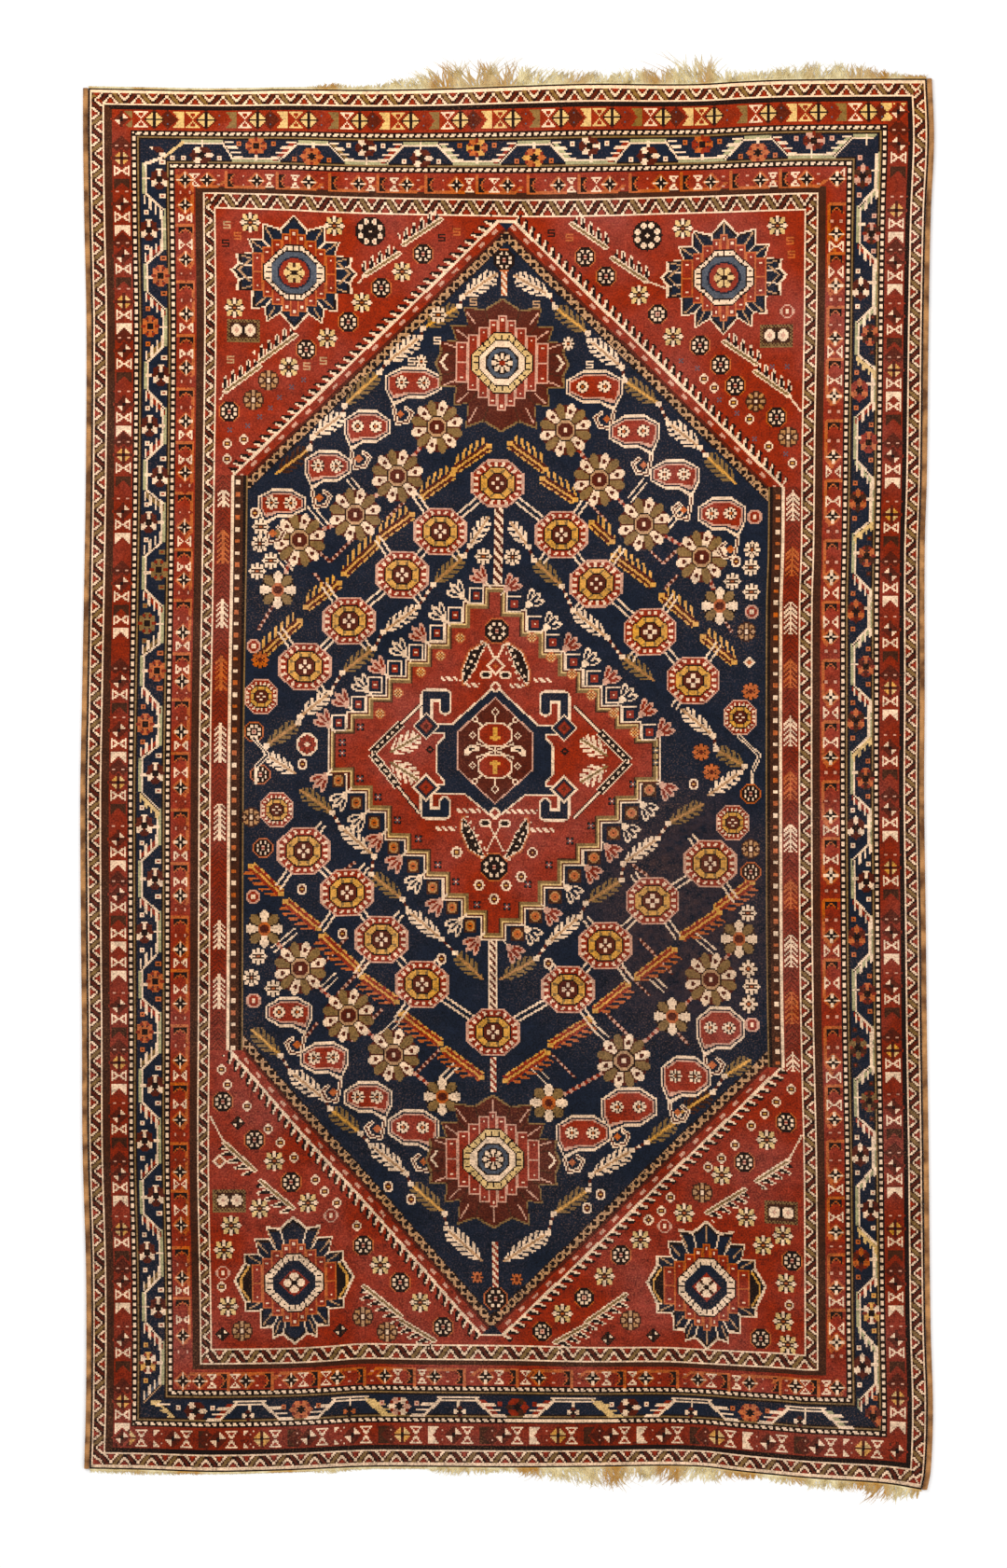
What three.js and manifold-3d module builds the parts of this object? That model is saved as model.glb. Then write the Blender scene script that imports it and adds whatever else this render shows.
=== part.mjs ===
// A hand-knotted wool rug, lying flat with its pile up.
//
// Millimetres. +X is to the right and +Y towards the upper end, as the rug lies
// before the viewer, and +Z is up. The floor is z = 0, and the origin is on the
// floor under the middle of the rug with its fringes.
//
// The rug is five solids: the pile with its ground weave, the two overcast side
// cords, and at each end the fringe of warp ends on its narrow woven strip.
// Neighbours are a small gap apart.

import * as THREE from 'three';
import Module from 'manifold-3d';

// Driving dimensions

// Distance kept between neighbouring pieces.
const GAP = 0.3;

// The pile: full height over the middle and lower along its worn rim.
const PILE = { height: 6, rimHeight: 3.4, rimWidth: 7, columns: 38, rows: 48 };

// The pile is never quite level on top, because the wool is trodden down in
// long soft waves: their depth, and their lengths across, along and aslant.
const TREAD = { depth: 0.6, across: 1070, along: 1450, slant: 1950 };

// The side cord: its width includes the wool that is wrapped around it.
const CORD = { width: 10, height: 7 };

// The woven strip at each end, which holds the strands.
const STRIP = { width: 4, height: 2.4 };

// A strand of the fringe: a lock of twisted warp ends, thinner to its tip.
// Where the fringe is worn shorter than shortest, only the strip is left.
const STRAND = { width: 3.4, height: 2, pitch: 7.5, shortest: 7, rootOverlap: 3 };

// How a strand thins out: at is the share of its length.
const STRAND_TAPER = [
  { at: 0, width: 1, height: 1 },
  { at: 0.4, width: 0.95, height: 0.95 },
  { at: 0.75, width: 0.7, height: 0.8 },
  { at: 1, width: 0.25, height: 0.4 },
];

// The two sides, read up the rug: where the outer face of each side cord runs.
// The rug is widest near its corners and drawn in on the right.
const SIDES = [
  { y: -1283, left: -764, right: 758 },
  { y: -1245, left: -764, right: 765 },
  { y: -1135, left: -761, right: 769 },
  { y: -1000, left: -760, right: 765 },
  { y: -865, left: -761, right: 763 },
  { y: -665, left: -767, right: 761 },
  { y: -460, left: -768, right: 758 },
  { y: -260, left: -770, right: 756 },
  { y: -25, left: -771, right: 753 },
  { y: 145, left: -768, right: 754 },
  { y: 415, left: -763, right: 754 },
  { y: 550, left: -761, right: 758 },
  { y: 820, left: -760, right: 761 },
  { y: 1020, left: -764, right: 765 },
  { y: 1155, left: -766, right: 771 },
  { y: 1265, left: -766, right: 767 },
];

// The two ends, read across the rug: where the pile stops.
const ENDS = [
  { x: -765, top: 1248, bottom: -1243 },
  { x: -663, top: 1246, bottom: -1245 },
  { x: -529, top: 1244, bottom: -1249 },
  { x: -394, top: 1246, bottom: -1246 },
  { x: -259, top: 1245, bottom: -1240 },
  { x: -125, top: 1247, bottom: -1240 },
  { x: 10, top: 1252, bottom: -1241 },
  { x: 145, top: 1256, bottom: -1240 },
  { x: 280, top: 1255, bottom: -1238 },
  { x: 350, top: 1256, bottom: -1240 },
  { x: 415, top: 1260, bottom: -1248 },
  { x: 482, top: 1263, bottom: -1255 },
  { x: 549, top: 1264, bottom: -1261 },
  { x: 684, top: 1265, bottom: -1270 },
  { x: 765, top: 1265, bottom: -1282 },
];

// How far the fringe still reaches past the pile, across the rug: worn away
// near the left corners and long in tufts over the rest.
const FRINGE_REACH = [
  { x: -765, top: 4, bottom: 7 },
  { x: -663, top: 4, bottom: 9 },
  { x: -529, top: 4, bottom: 5 },
  { x: -360, top: 5, bottom: 5 },
  { x: -327, top: 11, bottom: 9 },
  { x: -259, top: 8, bottom: 5 },
  { x: -192, top: 18, bottom: 5 },
  { x: -141, top: 25, bottom: 5 },
  { x: -108, top: 37, bottom: 13 },
  { x: -49, top: 43, bottom: 12 },
  { x: 10, top: 36, bottom: 10 },
  { x: 61, top: 24, bottom: 21 },
  { x: 128, top: 22, bottom: 29 },
  { x: 179, top: 17, bottom: 37 },
  { x: 229, top: 24, bottom: 24 },
  { x: 313, top: 29, bottom: 27 },
  { x: 350, top: 48, bottom: 27 },
  { x: 389, top: 24, bottom: 20 },
  { x: 431, top: 16, bottom: 12 },
  { x: 515, top: 24, bottom: 15 },
  { x: 583, top: 27, bottom: 18 },
  { x: 650, top: 22, bottom: 17 },
  { x: 684, top: 15, bottom: 30 },
  { x: 726, top: 8, bottom: 20 },
  { x: 765, top: 7, bottom: 12 },
];

// Where the strands lean: sideways travel for each unit of length, and the
// distance between one lean and the next the same way.
const LEAN = { amount: 0.28, wave: 410, curl: 1.2 };

// Reading the tables

// The value of a table's column at a station, on a smooth curve through its
// rows: at each row the curve slopes like the line between that row's neighbours.
function readTable(table, key, column, station) {
  const last = table.length - 1;
  const place = THREE.MathUtils.clamp(station, table[0][key], table[last][key]);
  const high = Math.max(1, table.findIndex((row) => row[key] >= place));
  const low = high - 1;
  const slopeAt = (i) => {
    const before = table[Math.max(0, i - 1)];
    const after = table[Math.min(last, i + 1)];
    return (after[column] - before[column]) / (after[key] - before[key]);
  };
  const step = table[high][key] - table[low][key];
  const t = (place - table[low][key]) / step;
  const rise = 3 * t * t - 2 * t * t * t;
  return THREE.MathUtils.lerp(table[low][column], table[high][column], rise)
    + step * slopeAt(low) * (t * t * t - 2 * t * t + t)
    + step * slopeAt(high) * (t * t * t - t * t);
}

const leftAt = (y) => readTable(SIDES, 'y', 'left', y);
const rightAt = (y) => readTable(SIDES, 'y', 'right', y);
const endAt = (x, end) => readTable(ENDS, 'x', end, x);
const reachAt = (x, end) => readTable(FRINGE_REACH, 'x', end, x);

// Building closed solids

function closedSolid(points, faces) {
  const geometry = new THREE.BufferGeometry();
  geometry.setFromPoints(points);
  geometry.setIndex(faces);
  geometry.computeVertexNormals();
  return geometry;
}

// Joins like sections, laid one after another, into one closed solid with a
// cap at each end. A section winds anticlockwise about the way of travel.
function loft(sections) {
  const sides = sections[0].length;
  const last = (sections.length - 1) * sides;
  const faces = [];
  for (let i = 0; i + 1 < sections.length; i += 1) {
    for (let j = 0; j < sides; j += 1) {
      const a = i * sides + j;
      const b = i * sides + ((j + 1) % sides);
      faces.push(a, b, a + sides);
      faces.push(b, b + sides, a + sides);
    }
  }
  for (let j = 1; j + 1 < sides; j += 1) {
    faces.push(0, j + 1, j);
    faces.push(last, last + j, last + j + 1);
  }
  return closedSolid(sections.flat(), faces);
}

// A flat outline of (left, up) points set upright across the way of travel.
function sectionAt(place, travel, outline) {
  const left = new THREE.Vector3(-travel.y, travel.x, 0).normalize();
  return outline.map(([side, up]) => place.clone().addScaledVector(left, side).setZ(up));
}

// The share of the way along, for each of a number of equal steps.
function shares(steps) {
  return Array.from({ length: steps + 1 }, (unused, i) => i / steps);
}

// The pile

// Shares along a side of the pile: a narrow rim, equal steps, a narrow rim.
function rimmedShares(steps, length) {
  const rim = PILE.rimWidth / length;
  const inner = shares(steps - 2).map((share) => THREE.MathUtils.lerp(rim, 1 - rim, share));
  return [0, ...inner, 1];
}

// The corners' nominal places, between which the shares run.
const CORNER = { left: SIDES[0].left, right: SIDES[0].right, low: ENDS[0].bottom, high: ENDS[0].top };
const ACROSS = rimmedShares(PILE.columns, CORNER.right - CORNER.left);
const UPWARD = rimmedShares(PILE.rows, CORNER.high - CORNER.low);

// The place in the pile that lies a share across and a share up. The pile's
// neighbours follow the same places, so that the gap to them stays even.
function pilePlace(across, upward) {
  const margin = CORD.width + GAP;
  const nominal = THREE.MathUtils.lerp(CORNER.left, CORNER.right, across);
  const y = THREE.MathUtils.lerp(endAt(nominal, 'bottom'), endAt(nominal, 'top'), upward);
  const x = THREE.MathUtils.lerp(leftAt(y) + margin, rightAt(y) - margin, across);
  return new THREE.Vector3(x, y, 0);
}

// The pile's last row of places at one end, and its edge there at any x.
const LAST_ROW = {
  top: ACROSS.map((across) => pilePlace(across, 1)),
  bottom: ACROSS.map((across) => pilePlace(across, 0)),
};

function edgeAt(x, end) {
  const row = LAST_ROW[end];
  const high = Math.max(1, row.findIndex((place) => place.x >= x));
  const t = THREE.MathUtils.inverseLerp(row[high - 1].x, row[high].x, x);
  return THREE.MathUtils.lerp(row[high - 1].y, row[high].y, t);
}

// The height of the trodden pile at a place, at most its full height.
function pileHeight(x, y) {
  const wave = (distance, length) => Math.sin((2 * Math.PI * distance) / length);
  const waves = wave(x, TREAD.across) * wave(y, TREAD.along) + wave(x - y, TREAD.slant);
  return PILE.height - (TREAD.depth * (waves + 2)) / 4;
}

function pileSolid() {
  const columns = ACROSS.length;
  const rows = UPWARD.length;
  const onRim = (i, j) => i === 0 || j === 0 || i === columns - 1 || j === rows - 1;
  const points = [];
  for (let j = 0; j < rows; j += 1) {
    for (let i = 0; i < columns; i += 1) {
      const place = pilePlace(ACROSS[i], UPWARD[j]);
      points.push(place.setZ(onRim(i, j) ? PILE.rimHeight : pileHeight(place.x, place.y)));
    }
  }
  const faces = [];
  for (let j = 0; j + 1 < rows; j += 1) {
    for (let i = 0; i + 1 < columns; i += 1) {
      const a = j * columns + i;
      faces.push(a, a + 1, a + columns + 1);
      faces.push(a, a + columns + 1, a + columns);
    }
  }
  // The outline once around, anticlockwise from above.
  const around = [];
  for (let i = 0; i < columns - 1; i += 1) around.push(i);
  for (let j = 0; j < rows - 1; j += 1) around.push(j * columns + columns - 1);
  for (let i = columns - 1; i > 0; i -= 1) around.push((rows - 1) * columns + i);
  for (let j = rows - 1; j > 0; j -= 1) around.push(j * columns);
  // The same outline on the floor, and one point in the middle of the underside.
  const floor = points.length;
  for (const corner of around) points.push(points[corner].clone().setZ(0));
  const middle = points.length;
  points.push(new THREE.Vector3(0, 0, 0));
  around.forEach((corner, k) => {
    const next = (k + 1) % around.length;
    faces.push(corner, floor + k, floor + next);
    faces.push(corner, floor + next, around[next]);
    faces.push(floor + next, floor + k, middle);
  });
  return closedSolid(points, faces);
}

// The side cords

// Flat where it lies on the floor and round above, as shares of its size.
const CORD_OUTLINE = [
  [-0.36, 0],
  [0.36, 0],
  [0.5, 0.3],
  [0.44, 0.72],
  [0.2, 1],
  [-0.2, 1],
  [-0.44, 0.72],
  [-0.5, 0.3],
];

// A side cord runs beside the pile's own rows of places, so the two never meet.
function cordSolid(side, outerFace, inward) {
  const outline = CORD_OUTLINE.map(([left, up]) => [left * CORD.width, up * CORD.height]);
  const sections = UPWARD.map((upward) => {
    const { y } = pilePlace(side, upward);
    const axis = new THREE.Vector3(outerFace(y) + (inward * CORD.width) / 2, y, 0);
    return sectionAt(axis, new THREE.Vector3(0, 1, 0), outline);
  });
  return loft(sections);
}

// The fringes

const wasm = await Module();
wasm.setup();

function toManifold(geometry) {
  const vertProperties = new Float32Array(geometry.attributes.position.array);
  const triVerts = new Uint32Array(geometry.index.array);
  return new wasm.Manifold(new wasm.Mesh({ numProp: 3, vertProperties, triVerts }));
}

function fromManifold(solid) {
  const mesh = solid.getMesh();
  const geometry = new THREE.BufferGeometry();
  geometry.setAttribute('position', new THREE.BufferAttribute(mesh.vertProperties, 3));
  geometry.setIndex(new THREE.BufferAttribute(mesh.triVerts, 1));
  geometry.computeVertexNormals();
  return geometry;
}

// The strip runs across the rug just past the pile, outwards being +1 at the
// upper end and -1 at the lower one.
function stripSolid(end, outwards) {
  const half = STRIP.width / 2;
  const outline = [[-half, 0], [half, 0], [half, STRIP.height], [-half, STRIP.height]];
  const shift = new THREE.Vector3(0, outwards * (GAP + half), 0);
  const travel = new THREE.Vector3(1, 0, 0);
  return loft(LAST_ROW[end].map((place) => sectionAt(place.clone().add(shift), travel, outline)));
}

// One strand: three-sided, its flat side down on the floor all the way.
function strandSolid(x, end, outwards, number) {
  const uneven = (salt) => 2 * THREE.MathUtils.seededRandom(number * 7 + salt) - 1;
  const reach = reachAt(x, end) * (0.9 + 0.1 * uneven(1));
  const lean = LEAN.amount * Math.sin((2 * Math.PI * x) / LEAN.wave + outwards);
  const curl = LEAN.curl * uneven(2);
  const root = edgeAt(x, end) + outwards * (GAP + STRIP.width - STRAND.rootOverlap);
  const free = reach - GAP - STRIP.width + STRAND.rootOverlap;
  const place = (share) => new THREE.Vector3(
    x + lean * free * share * share + curl * Math.sin(Math.PI * share),
    root + outwards * free * share,
    0,
  );
  const sections = STRAND_TAPER.map((row) => {
    const half = (STRAND.width * row.width) / 2;
    const travel = new THREE.Vector3(0, outwards, 0);
    const outline = [[-half, 0], [half, 0], [0, STRAND.height * row.height]];
    return sectionAt(place(row.at), travel, outline);
  });
  return loft(sections);
}

function fringeSolid(end, outwards) {
  const solids = [toManifold(stripSolid(end, outwards))];
  const row = LAST_ROW[end];
  const first = row[0].x + STRAND.width;
  const final = row[row.length - 1].x - STRAND.width;
  const count = Math.floor((final - first) / STRAND.pitch);
  for (let number = 0; number <= count; number += 1) {
    const x = first + number * STRAND.pitch;
    if (reachAt(x, end) >= STRAND.shortest) {
      solids.push(toManifold(strandSolid(x, end, outwards, number)));
    }
  }
  return fromManifold(wasm.Manifold.union(solids));
}

// The rug

const WOOL = { roughness: 0.95, metalness: 0 };

function piece(name, geometry, color) {
  const mesh = new THREE.Mesh(geometry, new THREE.MeshStandardMaterial({ color, ...WOOL }));
  mesh.name = name;
  return mesh;
}

const rug = new THREE.Group();
rug.add(piece('pile', pileSolid(), 0x8a2f22));
rug.add(piece('selvedge_left', cordSolid(0, leftAt, 1), 0x8a5a2c));
rug.add(piece('selvedge_right', cordSolid(1, rightAt, -1), 0x7c5430));
rug.add(piece('fringe_top', fringeSolid('top', 1), 0xcdb48a));
rug.add(piece('fringe_bottom', fringeSolid('bottom', -1), 0xc6b083));

export default rug;
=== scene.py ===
# %% [markdown]
# # A worn village rug, drawn knot by knot
#
# The real rug is wool pile knotted on wool warps, with a wrapped cord down each side and short
# worn warp ends at the top and bottom. It lies flat, so its shape is simple and its design is
# nearly everything. A picture wrapped on a slab would be quick, but it would be flat paint. Here
# the design is a weaver's chart instead: one small number for each knot, worked out with numpy,
# carried by the faces of the pile and coloured by a wool material.

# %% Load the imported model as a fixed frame
import bpy
import numpy as np
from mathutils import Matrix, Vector


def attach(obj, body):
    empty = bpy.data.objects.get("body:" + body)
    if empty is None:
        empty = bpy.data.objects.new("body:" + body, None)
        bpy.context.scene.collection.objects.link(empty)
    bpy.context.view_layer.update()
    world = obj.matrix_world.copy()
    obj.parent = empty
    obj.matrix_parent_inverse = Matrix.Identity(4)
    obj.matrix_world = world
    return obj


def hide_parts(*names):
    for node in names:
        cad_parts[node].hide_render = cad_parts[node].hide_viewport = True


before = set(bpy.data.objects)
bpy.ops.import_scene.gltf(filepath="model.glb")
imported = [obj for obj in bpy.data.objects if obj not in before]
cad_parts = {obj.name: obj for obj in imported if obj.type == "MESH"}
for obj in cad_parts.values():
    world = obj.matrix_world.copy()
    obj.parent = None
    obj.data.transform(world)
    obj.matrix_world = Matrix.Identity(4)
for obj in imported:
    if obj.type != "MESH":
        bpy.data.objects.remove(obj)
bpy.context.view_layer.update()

# %% [markdown]
# ## The outline
#
# A hand-woven rug is never a true rectangle: the sides wander as the weaver pulls each weft, and
# the ends bow. The solid model holds this in two short tables, in millimetres, and the same
# tables are repeated here, so that every dressed piece follows the solids. A cubic that keeps
# each row's slope reads them, because straight runs between rows would show as corners.

# %% Tables of the outline, in millimetres
SIDES = [  # y, outer face of the left cord, outer face of the right cord
    (-1283, -764, 758), (-1245, -764, 765), (-1135, -761, 769), (-1000, -760, 765),
    (-865, -761, 763), (-665, -767, 761), (-460, -768, 758), (-260, -770, 756), (-25, -771, 753),
    (145, -768, 754), (415, -763, 754), (550, -761, 758), (820, -760, 761), (1020, -764, 765),
    (1155, -766, 771), (1265, -766, 767)]
ENDS = [  # x, upper edge of the pile, lower edge of the pile
    (-765, 1248, -1243), (-663, 1246, -1245), (-529, 1244, -1249), (-394, 1246, -1246),
    (-259, 1245, -1240), (-125, 1247, -1240), (10, 1252, -1241), (145, 1256, -1240),
    (280, 1255, -1238), (350, 1256, -1240), (415, 1260, -1248), (482, 1263, -1255),
    (549, 1264, -1261), (684, 1265, -1270), (765, 1265, -1282)]
FRINGE_REACH = [  # x, reach past the pile at the upper end, and at the lower end
    (-765, 4, 7), (-663, 4, 9), (-529, 4, 5), (-360, 5, 5), (-327, 11, 9), (-259, 8, 5),
    (-192, 18, 5), (-141, 25, 5), (-108, 37, 13), (-49, 43, 12), (10, 36, 10), (61, 24, 21),
    (128, 22, 29), (179, 17, 37), (229, 24, 24), (313, 29, 27), (350, 48, 27), (389, 24, 20),
    (431, 16, 12), (515, 24, 15), (583, 27, 18), (650, 22, 17), (684, 15, 30), (726, 8, 20),
    (765, 7, 12)]
CORD_WIDTH, CORD_HEIGHT, GAP = 10.0, 7.0, 0.3
PILE_HEIGHT, RIM_HEIGHT, TREAD = 6.0, 3.4, 0.6


def read_table(table, at, column):
    """A column between a table's rows, by the cubic that meets each row at the slope of the
    straight line between its two neighbours. Past the first and last rows it stays level."""
    rows = np.array(table, float)
    key, value = rows[:, 0], rows[:, column]
    n = np.arange(len(key))
    before, after = np.maximum(n - 1, 0), np.minimum(n + 1, len(key) - 1)
    slope = (value[after] - value[before]) / (key[after] - key[before])
    at = np.clip(at, key[0], key[-1])
    low = np.clip(np.searchsorted(key, at) - 1, 0, len(key) - 2)
    step = key[low + 1] - key[low]
    t = (at - key[low]) / step
    rise = 3 * t**2 - 2 * t**3
    return (value[low] * (1 - rise) + value[low + 1] * rise
            + step * slope[low] * (t**3 - 2 * t**2 + t) + step * slope[low + 1] * (t**3 - t**2))


middle_width = read_table(SIDES, 0, 2) - read_table(SIDES, 0, 1)
print("width at the middle, mm:", round(float(middle_width), 1))

# %% [markdown]
# ## From knots to millimetres
#
# The chart has 552 columns and 904 rows. The weaver's borders aren't all equally wide, and the
# field inside them bends a little with the sides. Four more tables hold the field's edge. Between
# the edges, a knot's place is worked out in proportion, as knots are when a weft is pulled.

# %% The chart's size and the field's edge
COLUMNS, ROWS = 552, 904
BORDER = {"left": 81, "right": 79, "bottom": 78, "top": 81}   # knots of border on each side
ROUGH_X = -764, -531, 531, 758      # the two edges and the field's edges, by and large
FIELD_LEFT = [
    (-1000, -533), (-899, -534.7), (-697, -538), (-394, -536.4), (10, -534.7), (162, -533),
    (364, -529.6), (515, -527.9), (818, -524.6), (1020, -526.3)]
FIELD_RIGHT = [
    (-1000, 536.4), (-697, 534.7), (-546, 531.3), (-394, 528), (-192, 526.3), (313, 526.3),
    (414, 529.6), (616, 531.3), (818, 534.7), (1020, 536.4)]
FIELD_TOP = [
    (-529, 1030.6), (-394, 1026.4), (-327, 1023), (-226, 1019.7), (-57, 1016.3), (44, 1014.6),
    (178, 1016.3), (280, 1019.7), (347, 1021.4), (448, 1024.7), (529, 1027)]
FIELD_BOTTOM = [
    (-529, -1026.4), (-394, -1024.7), (-327, -1021.3), (-259, -1016.3), (-158, -1018),
    (10, -1019.7), (145, -1023), (280, -1023), (347, -1026.4), (414, -1029.8), (482, -1033),
    (529, -1037)]


def between(at, stops, values):
    """Straight lines through four stops, where each value may itself be an array."""
    def line(n):
        return values[n] + (values[n + 1] - values[n]) * (at - stops[n]) / (stops[n + 1] - stops[n])
    return np.where(at < stops[1], line(0), np.where(at > stops[2], line(2), line(1)))


def knot_place(column, row):
    """Where the chart's column and row lie, in millimetres. The row sets y between the ends and
    the field's edges, read at the column's rough x. The column sets x in the same way, read at
    that y."""
    across = (0, BORDER["left"], COLUMNS - BORDER["right"], COLUMNS)
    upward = (0, BORDER["bottom"], ROWS - BORDER["top"], ROWS)
    rough = np.interp(column, across, ROUGH_X)
    y = between(row, upward, (read_table(ENDS, rough, 2), read_table(FIELD_BOTTOM, rough, 1),
                              read_table(FIELD_TOP, rough, 1), read_table(ENDS, rough, 1)))
    margin = CORD_WIDTH + GAP
    x = between(column, across, (read_table(SIDES, y, 1) + margin, read_table(FIELD_LEFT, y, 1),
                                 read_table(FIELD_RIGHT, y, 1), read_table(SIDES, y, 2) - margin))
    return x, y


centre = knot_place(COLUMNS / 2, ROWS / 2)
print("middle of the chart, mm:", [round(float(v), 1) for v in centre])

# %% [markdown]
# ## The camera
#
# The rug was photographed from straight above. Perspective hardly shows at such a distance, so a
# long lens from 6.7 metres up gives the same even view. The frame is 1080 by 1681 and takes in
# 2.83 metres of floor along its long side.

# %% Camera straight above
LONG_SIDE = 2.8308                 # metres of floor along the frame's long side
LENS, SENSOR = 85.0, 36.0          # millimetres
AIM = -0.0067, -0.0076             # where it looks down, a little off the origin
camera_data = bpy.data.cameras.new("overhead")
camera_data.lens, camera_data.sensor_width = LENS, SENSOR
camera = bpy.data.objects.new("overhead", camera_data)
bpy.context.collection.objects.link(camera)
camera.location = (*AIM, LENS / SENSOR * LONG_SIDE)
bpy.context.scene.camera = camera
print("camera height, m:", round(camera.location.z, 3))
# %% [markdown]
# ## The dyed wools and the chart
#
# Sixteen shades are enough: a village dyer has madder reds, indigo, walnut browns, weld yellow,
# and undyed ivory. Each has a letter, and the chart holds the letter's number for each knot. A
# small class looks at a part of the chart with its own axes, so that the same motif can be knotted
# along any of the four borders or from the middle of the field.

# %% Palette and empty chart
WOOLS = [  # letter, dyed wool, sRGB colour
    ("i", "ivory", (240, 203, 168)), ("t", "worn ivory", (186, 140, 100)),
    ("r", "brick red", (142, 48, 31)), ("d", "deep red", (128, 43, 26)),
    ("o", "orange", (184, 96, 52)), ("g", "gold", (212, 152, 76)),
    ("v", "olive", (130, 98, 58)), ("e", "pale green", (166, 156, 114)),
    ("n", "navy", (22, 28, 41)), ("k", "near black", (27, 12, 7)),
    ("b", "dark brown", (66, 33, 18)), ("m", "maroon", (84, 31, 18)),
    ("p", "pink", (206, 152, 126)), ("c", "camel", (176, 124, 76)),
    ("y", "pale yellow", (218, 178, 118)), ("s", "blue grey", (78, 82, 90)),
]
NUMBER = {letter: number for number, (letter, _, _) in enumerate(WOOLS)}
chart = np.full((ROWS, COLUMNS), NUMBER["r"], np.uint8)


FORMS = {  # how far out a knot lies, of the whole, from its distances across and up
    "octagon": lambda x, y: np.maximum(np.maximum(x, y), (x + y) / 1.42),
    "lozenge": lambda x, y: np.maximum(np.maximum(x, y), (x + y) / 1.27),   # with its points cut
    "diamond": lambda x, y: x + y,
    "disc": np.hypot,
    "box": np.maximum,
}
LEAVE = 99      # in a stamp, a knot that leaves the ground as it is


class Ground:
    """A part of the chart with axes of its own: a runs along it, and d up or inwards."""

    def __init__(self, knots, a0=0.0, d0=0.0, allowed=None):
        self.knots, self.a0, self.d0 = knots, a0, d0
        self.allowed = np.ones(knots.shape, bool) if allowed is None else allowed

    def fill(self, low, high, wool, test=None):
        """Knots wool, a letter or a function of a and d, into the places between two corners.
        A test(a, d) takes the corners' place and decides alone near them."""
        i, j = (max(int(np.floor(x - zero)), 0) for x, zero in zip(low, (self.a0, self.d0)))
        i_end, j_end = (int(np.ceil(x - zero)) + 1 for x, zero in zip(high, (self.a0, self.d0)))
        part = self.knots[j:j_end, i:i_end]
        if not part.size:
            return
        a, d = np.meshgrid(np.arange(i, i + part.shape[1]) + 0.5 + self.a0,
                           np.arange(j, j + part.shape[0]) + 0.5 + self.d0)
        if test is None:
            inside = (a >= low[0]) & (a < high[0]) & (d >= low[1]) & (d < high[1])
        else:
            inside = test(a, d)
        inside = inside & self.allowed[j:j_end, i:i_end]
        wool = wool(a, d) if callable(wool) else NUMBER[wool]
        part[inside] = wool[inside] if np.ndim(wool) else wool

    def spot(self, a, d, r, wool, form="octagon", tall=None):
        """A solid spot of half-width r, and of another half-height if tall is given."""
        tall = r if tall is None else tall
        self.fill((a - r - 1, d - tall - 1), (a + r + 1, d + tall + 1), wool,
                  lambda A, D: FORMS[form](abs(A - a) / r, abs(D - d) / tall) <= 1)

    def nest(self, a, d, *spots):
        """Spots inside each other, largest first. Each is what spot takes after the place."""
        for spot in spots:
            self.spot(a, d, *spot)

    def spots_round(self, a, d, turns, far, *spot):
        """The same spot at several turns round a middle. far is its way out, across and up."""
        for turn in turns:
            self.spot(a + far[0] * np.cos(turn), d + far[1] * np.sin(turn), *spot)

    def path(self, points, wool, width=1.6, rule=None, reach=None):
        """A line through points. Each knot is measured against its nearest stretch: s along the
        line, and q to its left. It is filled up to two fifths of the width, as a knot at the rim
        spreads over the rest, or where rule(s, q) holds within reach and between the ends."""
        points = np.array(points, float)
        reach = width * 0.4 if reach is None else reach

        def test(A, D):
            best = np.full(A.shape, 1e9)
            along, aside, done = np.zeros(A.shape), np.zeros(A.shape), 0.0
            for (a1, d1), (a2, d2) in zip(points[:-1], points[1:]):
                length = np.hypot(a2 - a1, d2 - d1)
                x, y = (a2 - a1) / length, (d2 - d1) / length
                s = (A - a1) * x + (D - d1) * y
                q = (D - d1) * x - (A - a1) * y
                far = np.hypot(q, s - np.clip(s, 0, length))
                near = far < best
                best = np.where(near, far, best)
                along = np.where(near, done + s, along)
                aside = np.where(near, np.where(q >= 0, far, -far), aside)
                done += length
            close = best <= reach
            if rule is not None:
                close = close & (along >= 0) & (along <= done) & rule(along, aside)
            return close

        self.fill(points.min(0) - reach - 1, points.max(0) + reach + 1, wool, test)

    def shape(self, points, wool):
        """A filled outline. A knot is inside where a level ray crosses the outline an odd number
        of times."""
        points = np.array(points, float)

        def test(A, D):
            inside = np.zeros(A.shape, bool)
            for (a1, d1), (a2, d2) in zip(points, np.roll(points, -1, axis=0)):
                if d1 != d2:
                    crosses = ((d1 > D) != (d2 > D)) & (A < a1 + (a2 - a1) * (D - d1) / (d2 - d1))
                    inside ^= crosses
            return inside

        self.fill(points.min(0) - 1, points.max(0) + 1, wool, test)

    def stamp(self, rows, a, d):
        """A small motif written as rows of letters, centred on a place. A dot leaves the ground."""
        numbers = np.array([[NUMBER.get(x, LEAVE) for x in row] for row in rows[::-1]])
        high, wide = numbers.shape
        left, low = a - wide / 2, d - high / 2

        def pick(A, D):
            column, row = np.floor(A - left).astype(int), np.floor(D - low).astype(int)
            knots = numbers[np.clip(row, 0, high - 1), np.clip(column, 0, wide - 1)]
            inside = (column >= 0) & (column < wide) & (row >= 0) & (row < high)
            return np.where(inside, knots, LEAVE)

        self.fill((left, low), (left + wide, low + high), pick, lambda A, D: pick(A, D) != LEAVE)


FIELD_ORIGIN = -277.0, -450.5       # the chart's corner, seen from the middle of the field
field = Ground(chart, *FIELD_ORIGIN)
print("chart:", chart.shape, "knots:", chart.size)

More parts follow.
